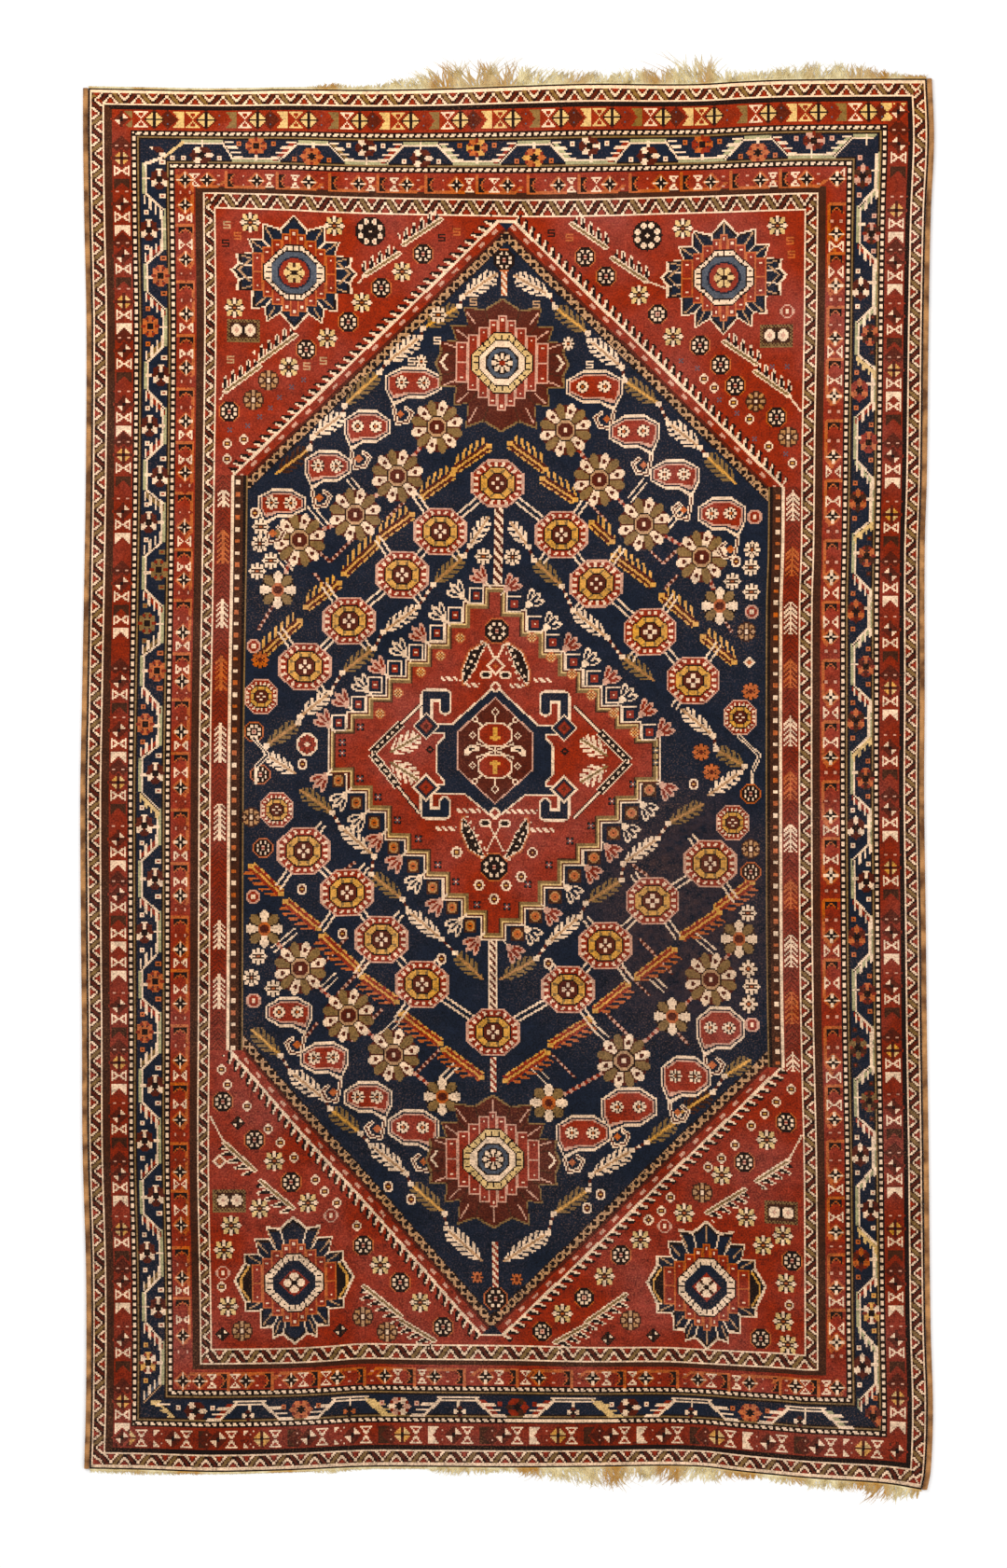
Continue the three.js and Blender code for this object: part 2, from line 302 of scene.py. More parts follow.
# %% [markdown]
# ## The bands of the border
#
# From the edge inwards there are twelve bands: guards with a zigzag, dark lines, a red border, a
# dotted line on each side of the navy vine border, and another red border. Their widths differ a
# little from side to side. A number called ring counts the bands inwards from the nearest side,
# with a fraction for the place within a band. Taking the smallest of the four sides' numbers turns
# every corner in a mitre.

# %% Band widths and the plain colours
BANDS = {  # side: widths in knots of the twelve bands from the edge inwards
    "left": (1, 9, 5, 12, 4, 2, 16, 2, 4, 13, 5, 8),
    "right": (1, 9, 3, 13, 4, 2, 14, 2, 4, 13, 5, 9),
    "top": (1.5, 9.5, 3, 14, 4, 2, 14, 2, 4, 12, 4, 11),
    "bottom": (1.5, 9.5, 3, 14, 4, 2, 12, 2, 4, 13, 3, 10),
}
PLAIN = "kikrbinibrbir"             # wool of each band, and of the field last
column, row = np.meshgrid(np.arange(COLUMNS) + 0.5, np.arange(ROWS) + 0.5)
inwards = {"left": column, "right": COLUMNS - column, "bottom": row, "top": ROWS - row}
rings = np.array([np.interp(inwards[side], np.concatenate([[0], np.cumsum(BANDS[side])]),
                            np.arange(len(PLAIN))) for side in BANDS])
ring = rings.min(axis=0)
LEFT, RIGHT, TOP, BOTTOM = range(4)
nearest = rings.argmin(axis=0)
chart[:] = np.array([NUMBER[x] for x in PLAIN])[ring.astype(int)]


def in_band(band):
    """Where a band of the border lies, counted from 0 at the edge."""
    return (ring >= band) & (ring < band + 1)


chart[in_band(3) & (nearest != TOP)] = NUMBER["d"]
chart[in_band(2) & (nearest == LEFT)] = NUMBER["b"]
TURNED = {"left": lambda x: x.T, "right": lambda x: x[:, ::-1].T,
          "top": lambda x: x[::-1], "bottom": lambda x: x}
in_border = ring < len(PLAIN) - 1
lanes = {  # each side's border as a Ground: a runs along the side and d inwards from the edge
    side: Ground(turned(chart), allowed=turned((nearest == number) & in_border))
    for number, (side, turned) in enumerate(TURNED.items())
}
print("field knots:", int((~in_border).sum()))
# %% [markdown]
# ## Zigzag guards and dotted lines
#
# The two guards carry a zigzag of striped arms, one kind maroon and one olive, edged with ivory.
# Between the arms lie red triangles. A knot's place in the 18-knot repeat is compared with the
# middle of the nearest arm at its depth, so the whole guard is one sum. Beside the vine run lines
# of ivory dots.

# %% Guards
ZIGZAG = 18     # knots of a repeat
on_side = nearest <= RIGHT
along = np.where(on_side, row, column)
for band in (1, 11):
    here = in_band(band)
    depth = (ring[here] - band) * 8
    step = (along[here] + 4) % ZIGZAG
    fall = np.interp(depth, (1, 7), (1.7, 7.3))     # middle of the falling arm at each depth
    falling, rising = (abs((step - middle + ZIGZAG / 2) % ZIGZAG - ZIGZAG / 2)
                       for middle in (fall, ZIGZAG - fall))
    closest = np.minimum(falling, rising)
    knots = np.select([closest < 3.9, closest < 4.8], [NUMBER["i"], NUMBER["m"]], NUMBER["r"])
    for arm, rim, core in ((falling, "b", "v"), (rising, "k", "m")):
        knots = np.select([arm < 1.2, arm < 2.5], [NUMBER[core], NUMBER[rim]], knots)
    chart[here] = np.where((depth < 0.9) | (depth >= 7.1), NUMBER["i"], knots)

# %% Dotted lines and the lines that edge the vine
DOT = 4.6                   # knots of one dot and its gap
PLAIN_STRETCH = 277, 350    # part of the lower dotted line where the dots run together
for band in (4, 8):
    here = in_band(band)
    depth, way = ring[here] - band, along[here]
    slant = np.where(on_side[here], 0.0, depth * 3.0)
    light = ((way + slant) % DOT < 2.7) & (depth > 0.2) & (depth < 0.8)
    if band == 4:
        light |= ((nearest[here] == BOTTOM) & (way > PLAIN_STRETCH[0]) & (way < PLAIN_STRETCH[1])
                  & (depth > 0.3) & (depth < 0.7))
    chart[here] = np.where(light, NUMBER["i"], NUMBER["k"])
chart[in_band(5)] = NUMBER["v"]
chart[in_band(7)] = NUMBER["v"]
chart[(ring > 5.62) & (ring < 6) | (ring >= 7) & (ring < 7.38)] = NUMBER["k"]    # next to the vine
chart[in_band(2) & (nearest == TOP)] = NUMBER["k"]
print("ivory knots so far:", int((chart == NUMBER["i"]).sum()))

# %% [markdown]
# ## The two red borders
#
# Both red borders repeat an hourglass of two triangles, a quartered diamond, a pair of dots and
# a notched block, like an arrow that runs round the rug. In the outer one the block is ivory and a
# worn brown by turns. The weaver spaced them by eye, so each block has its own place in a table.
# A quartered diamond also fills each corner of both borders.

# %% Motifs of the red borders
def hourglass(ground, a, d, wool, tall, wide):
    """Two triangles point to point: a knot is inside where its distance across from the middle is
    less than its distance up, in proportion. Each triangle has a smaller red one in it."""
    corners = (a - wide, d - tall), (a + wide, d + tall)
    for inset, least, knots in ((0.0, 0.1, wool), (1.0, 1.5, "r")):
        ground.fill(*corners, knots, lambda A, D: (
            (abs(D - d) <= tall - inset) & (abs(A - a) <= wide)
            & (abs(D - d) * wide / tall - abs(A - a) >= least)))


def wheel(ground, a, d, r, wools):
    """A diamond in four quarters. wools are its outline, two opposite quarters, the other two,
    the cross that parts them, and if there is one, the small heart."""
    outline, quarter, other, cross, *heart = wools
    ground.spot(a, d, r, outline, "diamond")
    for share, sign in ((quarter, 1), (other, -1)):
        ground.fill((a - r, d - r), (a + r, d + r), share, lambda A, D: (
            (abs(A - a) + abs(D - d) <= r - 1.5) & ((A - a) * (D - d) * sign > 0)))
    ground.fill((a - r, d - r), (a + r, d + r), cross, lambda A, D: (
        (abs(A - a) + abs(D - d) <= r - 1.0) & (np.minimum(abs(A - a), abs(D - d)) < 0.6)))
    if heart:
        ground.spot(a, d, 1.2, heart[0], "box")


def pair(ground, a, d, wool, lozenge, r=6.5):
    """Two dots, on a lozenge of another red where there is one."""
    if lozenge:
        ground.spot(a, d, r, lozenge, "diamond")
    for up in (-3.0, 3.0):
        ground.spot(a, d + up, 0.9, wool, "box")


def notched_block(ground, end, d, run, wool, tall, long=7.0):
    """A block whose far side is straight and whose near side is notched: its length grows from
    the middle to the top and bottom. run is +1 where its far side is at larger a."""
    def test(A, D):
        back, up = (end - A) * run, abs(D - d) / tall
        return (up <= 1) & (back >= 0) & (back <= long * (0.42 + 0.58 * up))
    ground.fill((end - 10, d - tall - 1), (end + 10, d + tall + 1), wool, test)


# %% Outer red border
OUTER = {  # side: middle of the band, way the arrows run, block ends; minus marks a brown block
    "left": (21, 1, (
        30, -70, 108, -142, 178, -216, 251, -288, 325, 344, -361, 397, -434, 468, -500, 549, -564,
        611, -648, 681, -716, 748, -778, 812, -843)),
    "right": (19, 1, (
        38, -74, 110, -146, 187, -225, 262, -304, 339, -381, 419, -459, 498, -536, 572, -611, 649,
        -690, 705, -740, 775, 809, -850)),
    "top": (20.5, 1, (
        -28, 61, -95, 129, -163, 197, -230, 265, -297, 331, -365, 399, -435, 468, -500, 529)),
    "bottom": (20.5, -1, (
        42, -72, 102, -131, 162, -191, 224, -258, 291, -327, 362, -397, 432, -466, 498, -528)),
}
TALL = 5.0      # half the height of a block
for side, (d, run, ends) in OUTER.items():
    ground = lanes[side]
    bright = side == "top"      # the upper border is paler
    to_hourglass, to_wheel, to_pair = (5.5, 14.0, 22.5) if run > 0 else (8.0, 17.0, 24.5)
    beyond = (*ends[1:], abs(ends[-1]) + 40) if run > 0 else (0, *ends[:-1])
    for n, (signed, after) in enumerate(zip(ends, beyond)):
        end, room = abs(signed), abs(abs(after) - abs(signed))
        block = ("vy" if bright else "bi")[signed > 0]
        notched_block(ground, end, d, run, block, TALL)
        if signed < 0:
            ground.path([(end, d - TALL), (end, d + TALL)], "g" if bright else "o", 1.2)
        hourglass(ground, end + run * to_hourglass, d, "y" if bright and n % 2 else "i", TALL, 4.2)
        if room >= 24:
            wools = "myykk" if bright else "d" + ("yg", "im", "im")[n % 3] + "mk"
            pair(ground, end + run * to_pair, d, "s" if bright else "p", "md"[n % 2])
            wheel(ground, end + run * to_wheel, d, 7.0, wools)
print("blocks in the outer border:", sum(len(ends) for _, _, ends in OUTER.values()))

# %% Inner red border
INNER = {  # side: middle of the band, way the arrows run, places of the straight ends
    "left": (61.5, 1, (
        70, 111, 144, 181, 212, 251, 289, 325, 360, 395, 430, 467, 502, 532, 567, 600, 637, 670,
        705, 740, 775, 812, 845)),
    "right": (58, 1, (
        72, 107, 143, 180, 217, 253, 291, 335, 374, 414, 451, 490, 530, 568, 608, 647, 686, 726,
        760, 795, 827, 840)),
    "top": (61.5, -1, (486, 457, 424, 391, 357, 323, 289, 255, 221, 189, 157, 122, 88, 57)),
    "bottom": (57.5, 1, (60, 92, 121, 152, 182, 215, 248, 283, 319, 354, 389, 423, 457, 482)),
}
TALL = 5.2
BLACK_WHEEL = "okkik"
for side, (d, run, ends) in INNER.items():
    ground = lanes[side]
    low, high = d - TALL, d + TALL - 0.6
    lozenge = "d" if side in ("left", "right") else ""
    ground.path([(ends[0], d - TALL), (ends[0], d + TALL)], "o", 1.1)
    for n, (end, after) in enumerate(zip(ends, (*ends[1:], ends[-1] + run * 34))):
        room = abs(after - end)
        if room < 20:
            continue
        # the open box round what follows, with its pointed near end
        near, far = after - run * 30, after
        ground.path([(far, low), (far, high), (near + run * 5, high), (near, d + 1)], "o", 2.4)
        notched_block(ground, far - run, d, run, "k", TALL - 0.8, 5.5)
        back = far - run * 5.5
        ground.path([(back, low + 1), (far - run * 2.5, d), (back, d + TALL - 1)], "o", 1.0)
        to_pair, to_hourglass = (0.66, 0.15) if n % 2 else (0.15, 0.66)     # as shares of the room
        hourglass(ground, end + run * room * to_hourglass, d, "i", TALL - 0.4, 4.0)
        pair(ground, end + run * room * to_pair, d, "p", lozenge, 5.5)
        wheel(ground, end + run * room * 0.40, d, 6.0, BLACK_WHEEL)
for outer, inner in ((21, 61.5), (COLUMNS - 19, COLUMNS - 58)):
    for low, high in ((20.5, 57.5), (ROWS - 20.5, ROWS - 61.5)):
        wheel(Ground(chart), outer, low, 6.6, "rimmk")
        wheel(Ground(chart), inner, high, 6.0, BLACK_WHEEL)
print("boxes in the inner border:", sum(len(ends) for _, _, ends in INNER.values()))
# %% [markdown]
# ## The navy border with its vine
#
# The main border's vine is a line that steps between two levels. Its level stretches are pale
# green bars with an ivory line beside them and a tick towards a half flower. Its slanting ones are
# edged with a comb of long teeth. The teeth point along the border, so each is a level stripe that
# ends at a set distance from the line. Each petal of a half flower has a dark dot.

# %% Flowers and combs
def rosette(ground, a, d, r, petals, wools, heart, back, gap, turn=0.5, tall=1.0):
    """A flower in polar terms: the angle, counted in petals, picks the petal and its wool; the
    gap between petals is left in the back wool. The rim is scalloped by the sine of the place
    within a petal."""
    ground.spot(a, d, r * 0.9, back, "disc", r * 0.9 * tall)

    def count(A, D):
        return (np.arctan2((D - d) / tall, A - a) / (2 * np.pi) * petals + turn) % petals

    def dye(A, D):
        return np.array([NUMBER[x] for x in wools])[count(A, D).astype(int) % len(wools)]

    def test(A, D):
        within = count(A, D) % 1
        rim = r * (0.72 + 0.28 * np.sin(np.pi * within))
        return (np.hypot(A - a, (D - d) / tall) < rim) & (np.minimum(within, 1 - within) > gap)

    ground.fill((a - r - 1, d - r * tall - 1), (a + r + 1, d + r * tall + 1), dye, test)
    ground.spot(a, d, max(1.0, r * 0.28), heart, "disc")


TOOTH_PITCH = 3.4


def comb(ground, start, finish, toward, wool, deep):
    """Teeth beside a slanting line. Each tooth runs level, along the border, from the line towards
    lower or higher a (toward is -1 or +1), and between its roots the comb is filled with wool."""
    (a1, d1), (a2, d2) = start, finish
    low, high = min(d1, d2), max(d1, d2)

    def knot(dye, rule):
        def test(A, D):
            beside = (A - (a1 + (a2 - a1) * (D - d1) / (d2 - d1))) * toward
            return (D > low - 0.5) & (D < high + 0.5) & (beside > 0) & rule(beside, D - low)
        ground.fill((min(a1, a2) - deep, low - 1), (max(a1, a2) + deep, high + 1), dye, test)

    knot(wool, lambda beside, up: beside < deep * 0.62)
    knot("y" if wool == "y" else "i", lambda beside, up: (
        (beside < deep) & (up % TOOTH_PITCH < TOOTH_PITCH * 0.42)))
    knot("k", lambda beside, up: beside < 1.2)


# %% The vine's course
VINE = {  # side: its two levels by turns, start, wool of the comb before each level stretch,
         # and where each stretch begins and ends
    "left": ((48, 35), (43, 35), "srvrrrvrnrryrrvrnvrrvrrn", [
        (56, 82), (97, 114), (126, 155), (167, 187), (200, 228), (240, 260), (272, 297), (308, 324),
        (338, 363), (374, 396), (408, 430), (443, 463), (473, 497), (512, 530), (540, 563),
        (575, 595), (606, 630), (640, 658), (670, 692), (706, 722), (734, 757), (770, 786),
        (797, 822), (834, 853)]),
    "right": ((44, 31.5), None, "nreryererernryreryeryere", [
        (31, 50), (62, 82), (97, 118), (130, 150), (163, 187), (202, 222), (234, 257), (268, 290),
        (303, 328), (341, 362), (376, 400), (412, 432), (444, 470), (482, 503), (515, 540),
        (553, 575), (588, 612), (622, 648), (662, 688), (700, 720), (730, 750), (762, 790),
        (803, 825), (838, 857)]),
    "top": ((35, 48), None, "nnrvrerernere", [
        (60, 85), (93, 123), (137, 155), (168, 195), (207, 228), (240, 270), (283, 303), (315, 347),
        (358, 380), (390, 420), (434, 450), (463, 492), (505, 520)]),
}
for side, (levels, before, wools, flats) in VINE.items():
    ground = lanes[side]
    for n, ((a1, a2), wool) in enumerate(zip(flats, wools)):
        level = levels[n % 2]
        way = -1 if level == max(levels) else 1       # towards the other level
        if before:
            comb(ground, before, (a1, level), -1 if side == "right" else -way, wool,
                 7.0 if side == "right" else 8.0)
            ground.path([before, (a1, level)], "t" if wool == "s" else "i", 1.5)
        beside = level + (1.5 if way > 0 else -1.4)
        ground.path([(a1 - 1, level), (a2 + 1, level)], "e", reach=0.7)
        ground.path([(a1 - 1, beside), (a2 + 1, beside)], "i", reach=0.5)
        middle = (a1 + a2) / 2
        ground.path([(middle, level), (middle, level + way * 5)], "i", 1.6)
        before = a2, level

# %% The bottom's boats, and the corners
BOATS = [  # from, to, wool of the left comb, wool of the right comb
    (85, 127, "r", "n"), (150, 195, "n", "y"), (220, 268, "n", "r"), (295, 345, "r", "y"),
    (375, 422, "r", "n"), (450, 497, "r", "e")]
ground = lanes["bottom"]
for a1, a2, wool_1, wool_2 in BOATS:
    for start, finish, toward, wool in (((a1 + 1, 32.5), (a1 + 12, 43), -1, wool_1),
                                        ((a2 - 1, 32.5), (a2 - 12, 43), 1, wool_2)):
        comb(ground, start, finish, toward, wool, 9.0)
        ground.path([start, finish], "y" if wool == "y" else "i", 2.2)
    for level in (42.2, 44.6):
        ground.path([(a1 + 11, level), (a2 - 11, level)], "i", 1.4)
    middle = (a1 + a2) / 2
    ground.path([(middle, 43), (middle, 37.5)], "i", 1.6)
ground.path([(38, 42.5), (52, 42.5)], "i", 1.6)
comb(ground, (58, 34), (49, 42), -1, "y", 6.5)
lanes["left"].path([(45, 58), (34, 58)], "y", 2.0)
lanes["left"].shape([(33, 52), (42, 46), (42, 40), (45, 40), (45, 50), (34, 60)], "y")
lanes["left"].path([(853, 36), (857, 45), (862, 60)], "i", 2.6)
lanes["top"].path([(35, 60), (35, 50), (47, 47), (60, 36)], "y", 2.4)
print("vine drawn on", len(VINE) + 1, "sides")

# %% Half flowers
FLOWERS = {  # side: outer depth, inner depth, then wool pairs and their places
    "left": (38, 45, [
        ("gi", (69,)), ("im", (105, 141, 178, 214, 250)), ("oo", (285, 318)),
        ("im", (350, 385, 420, 454)), ("oo", (486, 521)), ("vv", (552, 587)),
        ("im", (618, 648, 681, 714)), ("oo", (746, 779)), ("im", (809, 843))]),
    "right": (35, 41.5, [
        ("om", (40,)), ("im", (71,)), ("gi", (105,)), ("om", (140,)), ("im", (172, 208)),
        ("bv", (243, 278)), ("om", (313, 350)), ("im", (386, 421)), ("ob", (453, 491)),
        ("om", (526, 562)), ("bo", (598,)), ("ob", (634,)), ("or", (672, 706)), ("bo", (742,)),
        ("im", (772,)), ("pb", (808, 844))]),
    "top": (38, 44.5, [
        ("im", (42,)), ("im", (72,)), ("oo", (108, 145)), ("im", (181, 218)), ("og", (255, 293)),
        ("im", (330, 369)), ("or", (405,)), ("oo", (442,)), ("pm", (479,))]),
    "bottom": (37, 40, [
        ("im", (70,)), ("oo", (140,)), ("pi", (205,)), ("rb", (283,)), ("im", (357,)),
        ("oo", (437,))])}
SIXTHS = np.arange(6) / 3 * np.pi + np.pi / 2
for side, (outer, inner, groups) in FLOWERS.items():
    ground = lanes[side]
    levels, _, _, flats = VINE.get(side, ((), None, "", []))
    for a, wools in sorted((a, wools) for wools, places in groups for a in places):
        d = 38.5                # in the bottom's boats
        if flats:               # elsewhere on the far side from the nearest level stretch
            n = np.argmin([abs(round((a1 + a2) / 2) - a) for a1, a2 in flats])
            d = outer if levels[n % 2] == max(levels) else inner
        rosette(ground, a, d, 7.6, 6, wools, "k", "n", 0.10, tall=0.76)
        ground.spots_round(a, d, SIXTHS, (5.2, 4.5), 1.0, "m" if wools[0] == "i" else "d", "box")
        beside = d + (-1.5 if d < (outer + inner) / 2 else 2.0)
        for shift in (-11.5, 11.5):
            ground.nest(a + shift, beside, (1.9, wools[0], "box"),
                        (0.6, "k" if wools[0] == "o" else "r", "box"))
for a in (105, 172, 245, 320, 398, 470):
    rosette(lanes["bottom"], a, 35.5, 4.2, 4, "ok" if a == 172 else "im", "k", "n", 0.1, tall=0.8)
print("half flowers:", sum(len(at) for _, _, groups in FLOWERS.values() for _, at in groups))
# %% [markdown]
# ## The field's ground
#
# Inside the guards lies a red field, and in it a long navy hexagon. Each of its four slanting
# sides is an ivory line with hooked teeth outwards, and inwards a red band with pink and deep red
# bars and a row of pale loops on black. On its upright sides stand strips of ears of corn.

# %% Hexagon and its edges
HEXAGON = [(-183, 199), (-8, 369.5), (3, 369.5), (183, 193), (183, -186), (-3.5, -366),
           (-18, -366), (-183, -177)]      # its two ends are cut off, so it has eight corners
field.shape(HEXAGON, "n")
LOOP, TEETH = 6.4, 6.3      # knots from one to the next


def slanting_teeth(wide, narrower):
    """Teeth that lean along a line and grow narrower away from it."""
    return lambda s, q: (s + 0.4 * q) % TEETH < wide - narrower * q


for n in (0, 2, 4, 6):
    edge = HEXAGON[n:n + 2]
    tooth, core = slanting_teeth(5.4, 0.4), slanting_teeth(2.0, 0.1)
    field.path(edge, "r", rule=lambda s, q: (q < 0) & (q > -7), reach=8)
    field.path(edge, "m", rule=lambda s, q: (q < -6) & (q > -8.4), reach=9)
    field.path(edge, "p", rule=lambda s, q: (abs(q + 3.8) < 1.0) & (s % 12.4 < 4.4), reach=6)
    field.path(edge, "d", rule=lambda s, q: (abs(q + 3.8) < 1.0) & (s % 12.4 > 8), reach=6)
    field.path(edge, "k", reach=14,
               rule=lambda s, q: (q < -8) & (q > -11) | (abs(q + 12) < 2) & (s % LOOP < 5))
    field.path(edge, "t", reach=14, rule=lambda s, q: (
        (abs(np.hypot(s % LOOP - LOOP / 2, q + 11.4) - 2.4) < 0.75) & (q > -13.2)))
    field.path(edge, "k", rule=lambda s, q: (q > 0) & (q < 6.6) & tooth(s, q), reach=7)
    field.path(edge, "i", rule=lambda s, q: (q > 0) & (q < 5.6) & core(s, q), reach=7)
    field.path(edge, "i", 2.2)
for n in (1, 5):
    field.path(HEXAGON[n:n + 2], "i", 2.0)

# %% Upright strips with ears of corn
EARS = {  # middle of the ears: their wools, and top and bottom of each
    -190.0: ("ioioiiii", [
        (188, 178), (162, 141), (117, 99), (80, 58), (36, 11), (-17, -40), (-93, -111),
        (-128, -150)]),
    190.5: ("ioioioioioi", [
        (190, 171), (153, 135), (117, 97), (80, 62), (43, 24), (7, -11), (-28, -45), (-64, -82),
        (-100, -120), (-137, -157), (-176, -188)]),
}
for side, low, high in ((-1, -177, 199), (1, -186, 193)):
    def band(inner, outer, wool, rule=lambda A, D: True):
        a1, a2 = sorted((side * inner, side * outer))
        field.fill((a1, low), (a2, high), wool, lambda A, D: (
            (A >= a1) & (A < a2) & (D >= low) & (D < high) & rule(A, D)))
    band(185, 196, "d")
    band(186, 195, "m", lambda A, D: (D + abs(abs(A) - 190.3)) % 3.4 < 1.0)
    band(183, 185, "i")
    band(177, 183, "b")
    band(179, 181.6, "i", lambda A, D: D % 7.7 < 2.6)
    band(179, 181.6, "o", lambda A, D: D % 15.4 < 2.6)
    band(175.4, 177, "k")
    band(173.6, 175.4, "v")
for middle, (wools, ears) in EARS.items():
    for wool, (top, bottom) in zip(wools, ears):
        def ear(A, D):
            x = abs(A - middle)
            barbs = (x < 4.4) & ((D + x - bottom) % 3.4 < 1.5) & (D + x < top + 2)
            return (D <= top) & (D >= bottom) & ((x < 0.8) | barbs)
        field.fill((middle - 6, bottom), (middle + 6, top), wool, ear)
print("ears of corn:", sum(len(ears) for _, ears in EARS.values()))

# %% [markdown]
# ## Flowers of the field
#
# The field is strewn with round flowers of a few makes. An eight-sided one has rings of red and
# gold; a large one has twelve petals, ivory and olive by turns; small ones are ivory petals on
# brown, or ivory dots on black. A function knots each make, and tables give the places.

# %% Kinds of flower
EIGHTHS = np.arange(8) / 4 * np.pi + np.pi / 8


def eight_sided(a, d, rx=17.5, ry=15.5):
    """Octagons inside each other: a pink rim, a red ring with ivory rays, a gold ring with olive
    marks, and a maroon heart with four ivory discs."""
    for share, wool in zip((1.0, 0.93, 0.68, 0.63, 0.42, 0.37), "prkgkm"):
        field.spot(a, d, rx * share, wool, "octagon", ry * share)

    def rays(A, D):
        x, y = (A - a) / rx, (D - d) / ry
        far = FORMS["octagon"](abs(x), abs(y))
        turn = np.arctan2(y, x) / (2 * np.pi) * 20
        return (far > 0.72) & (far < 0.90) & (turn % 1 < 0.42)

    def marks(A, D):
        far = np.hypot((A - a) / rx, (D - d) / ry)
        turn = np.arctan2(D - d, A - a) / (2 * np.pi) * 8
        return (far > 0.46) & (far < 0.62) & (abs(turn % 1 - 0.5) < 0.12)

    for wool, rule in (("i", rays), ("v", marks)):
        field.fill((a - rx, d - ry), (a + rx, d + ry), wool, rule)
    for x, y in ((-0.17, 0), (0.17, 0), (0, -0.19), (0, 0.19)):
        field.spot(a + x * rx, d + y * ry, rx * 0.085, "i", "disc")


def large_flower(a, d, r=17.5):
    """Twelve petals round an eight-sided heart: six ivory ones with a dark dot and six olive."""
    rosette(field, a, d, r + 0.5, 12, "iv", "k", "m", 0.08, turn=0.0)
    turns = np.pi / 12 + np.arange(6) / 3 * np.pi
    field.spots_round(a, d, turns, (r * 0.70, r * 0.70), 1.5, "m", "disc")
    field.nest(a, d, (r * 0.42, "k"), (r * 0.36, "t"), (r * 0.28, "m"), (1.3, "i", "box"))


def small_flower(a, d, kind, r):
    """I: ivory petals on brown. P: red petals on ivory. K: eight ivory dots on black. O: orange
    petals. B: worn petals on brown. W: eight ivory spots on black. R: a plain ring. S: a red
    heart in a pink ring. D: a diamond. X: a pinwheel."""
    if kind == "I":
        rosette(field, a, d, r + 0.3, 8, "iy" if r > 6 else "i", "b", "k", 0.15)
        field.nest(a, d, (r * 0.34, "b", "disc"), (0.9, "o", "box"))
    elif kind == "P":
        field.spot(a, d, r, "i")
        rosette(field, a, d, r - 0.6, 8, "r", "m", "m", 0.12)
        field.spot(a, d, r * 0.3, "i", "diamond")
    elif kind == "K":
        field.nest(a, d, (r + 0.3, "o"), (r - 0.3, "k"), (1.4, "p", "box"), (0.6, "r", "box"))
        field.spots_round(a, d, EIGHTHS, (r * 0.63, r * 0.63), r * 0.15, "i", "disc")
    elif kind == "O":
        rosette(field, a, d, r, 8, "o", "m", "k", 0.08)
    elif kind == "B":
        field.spot(a, d, r + 0.4, "b", "disc")
        rosette(field, a, d, r, 8, "tc", "b", "b", 0.2)
        field.nest(a, d, (r * 0.46, "b", "disc"), (r * 0.2, "i"))
    elif kind == "W":
        field.nest(a, d, (r, "k", "disc"), (1.3, "i", "diamond"))
        for half, wool in ((1.8, "i"), (0.6, "p")):
            field.spots_round(a, d, EIGHTHS, (r * 0.7, r * 0.7), half, wool)
    elif kind == "R":
        field.nest(a, d, (r, "i", "disc"), (r - 1.2, "m", "disc"), (0.9, "g", "box"))
    elif kind == "S":
        field.nest(a, d, (r, "p"), (r - 1.3, "r"), (1.1, "i", "box"))
    elif kind == "D":
        field.nest(a, d, (r, "i", "diamond"), (r - 2, "r", "diamond"), (1.6, "o", "diamond"))
    elif kind == "X":
        wheel(field, a, d, r, "kibk")


def hook_s(a, d, wool):
    """The small squared S that fills gaps."""
    bar, left, right = wool * 5, wool + "....", "...." + wool
    field.stamp([bar, left, bar, right, bar], a, d)


# %% Leaves, stems and sprays
def feather(start, finish, wool, half, pitch, spine):
    """A leaf of barbs along a line. Barbs slant back by the distance aside. The leaf is widest
    from a sixth to three fifths of its length."""
    length = float(np.hypot(finish[0] - start[0], finish[1] - start[1]))

    def barbs(s, q):
        share = np.clip(s / length, 0, 1)
        rim = half * np.minimum(1.0, np.minimum(share * 5 + 0.25, (1 - share) * 2.6 + 0.15))
        return (abs(q) < rim * 0.3) | ((abs(q) < rim) & ((s + abs(q)) % pitch < pitch * 0.6))
    field.path([start, finish], wool, rule=barbs, reach=half)
    field.path([start, finish], spine, 2.0)


def one_sided(start, finish, teeth, inner, hand, deep=7.5, pitch=5.2):
    """A leaf with one straight side: a gold stem, a dashed band beside it, and long teeth on the
    other side that shorten towards the tip. hand is +1 where they are to the left of the line."""
    edge = [start, finish]
    length = float(np.hypot(finish[0] - start[0], finish[1] - start[1]))

    def tooth(s, q):
        rim = deep * np.minimum(1.0, 0.35 + 2.2 * (1 - s / length))
        return (q * hand > 0) & (q * hand < rim) & ((s + q * hand) % pitch < pitch * 0.46)
    field.path(edge, teeth, reach=deep, rule=tooth)
    field.path(edge, inner, reach=3.4, rule=lambda s, q: (q * hand < 2.6) & (q * hand > -3.4))
    field.path(edge, "g", reach=3.6,
               rule=lambda s, q: (abs(q) < 0.7) | ((q * hand < -2.4) & (s % 5.6 < 4.0)))
    for place in edge:
        field.spot(*place, 1.9, "g", "box")


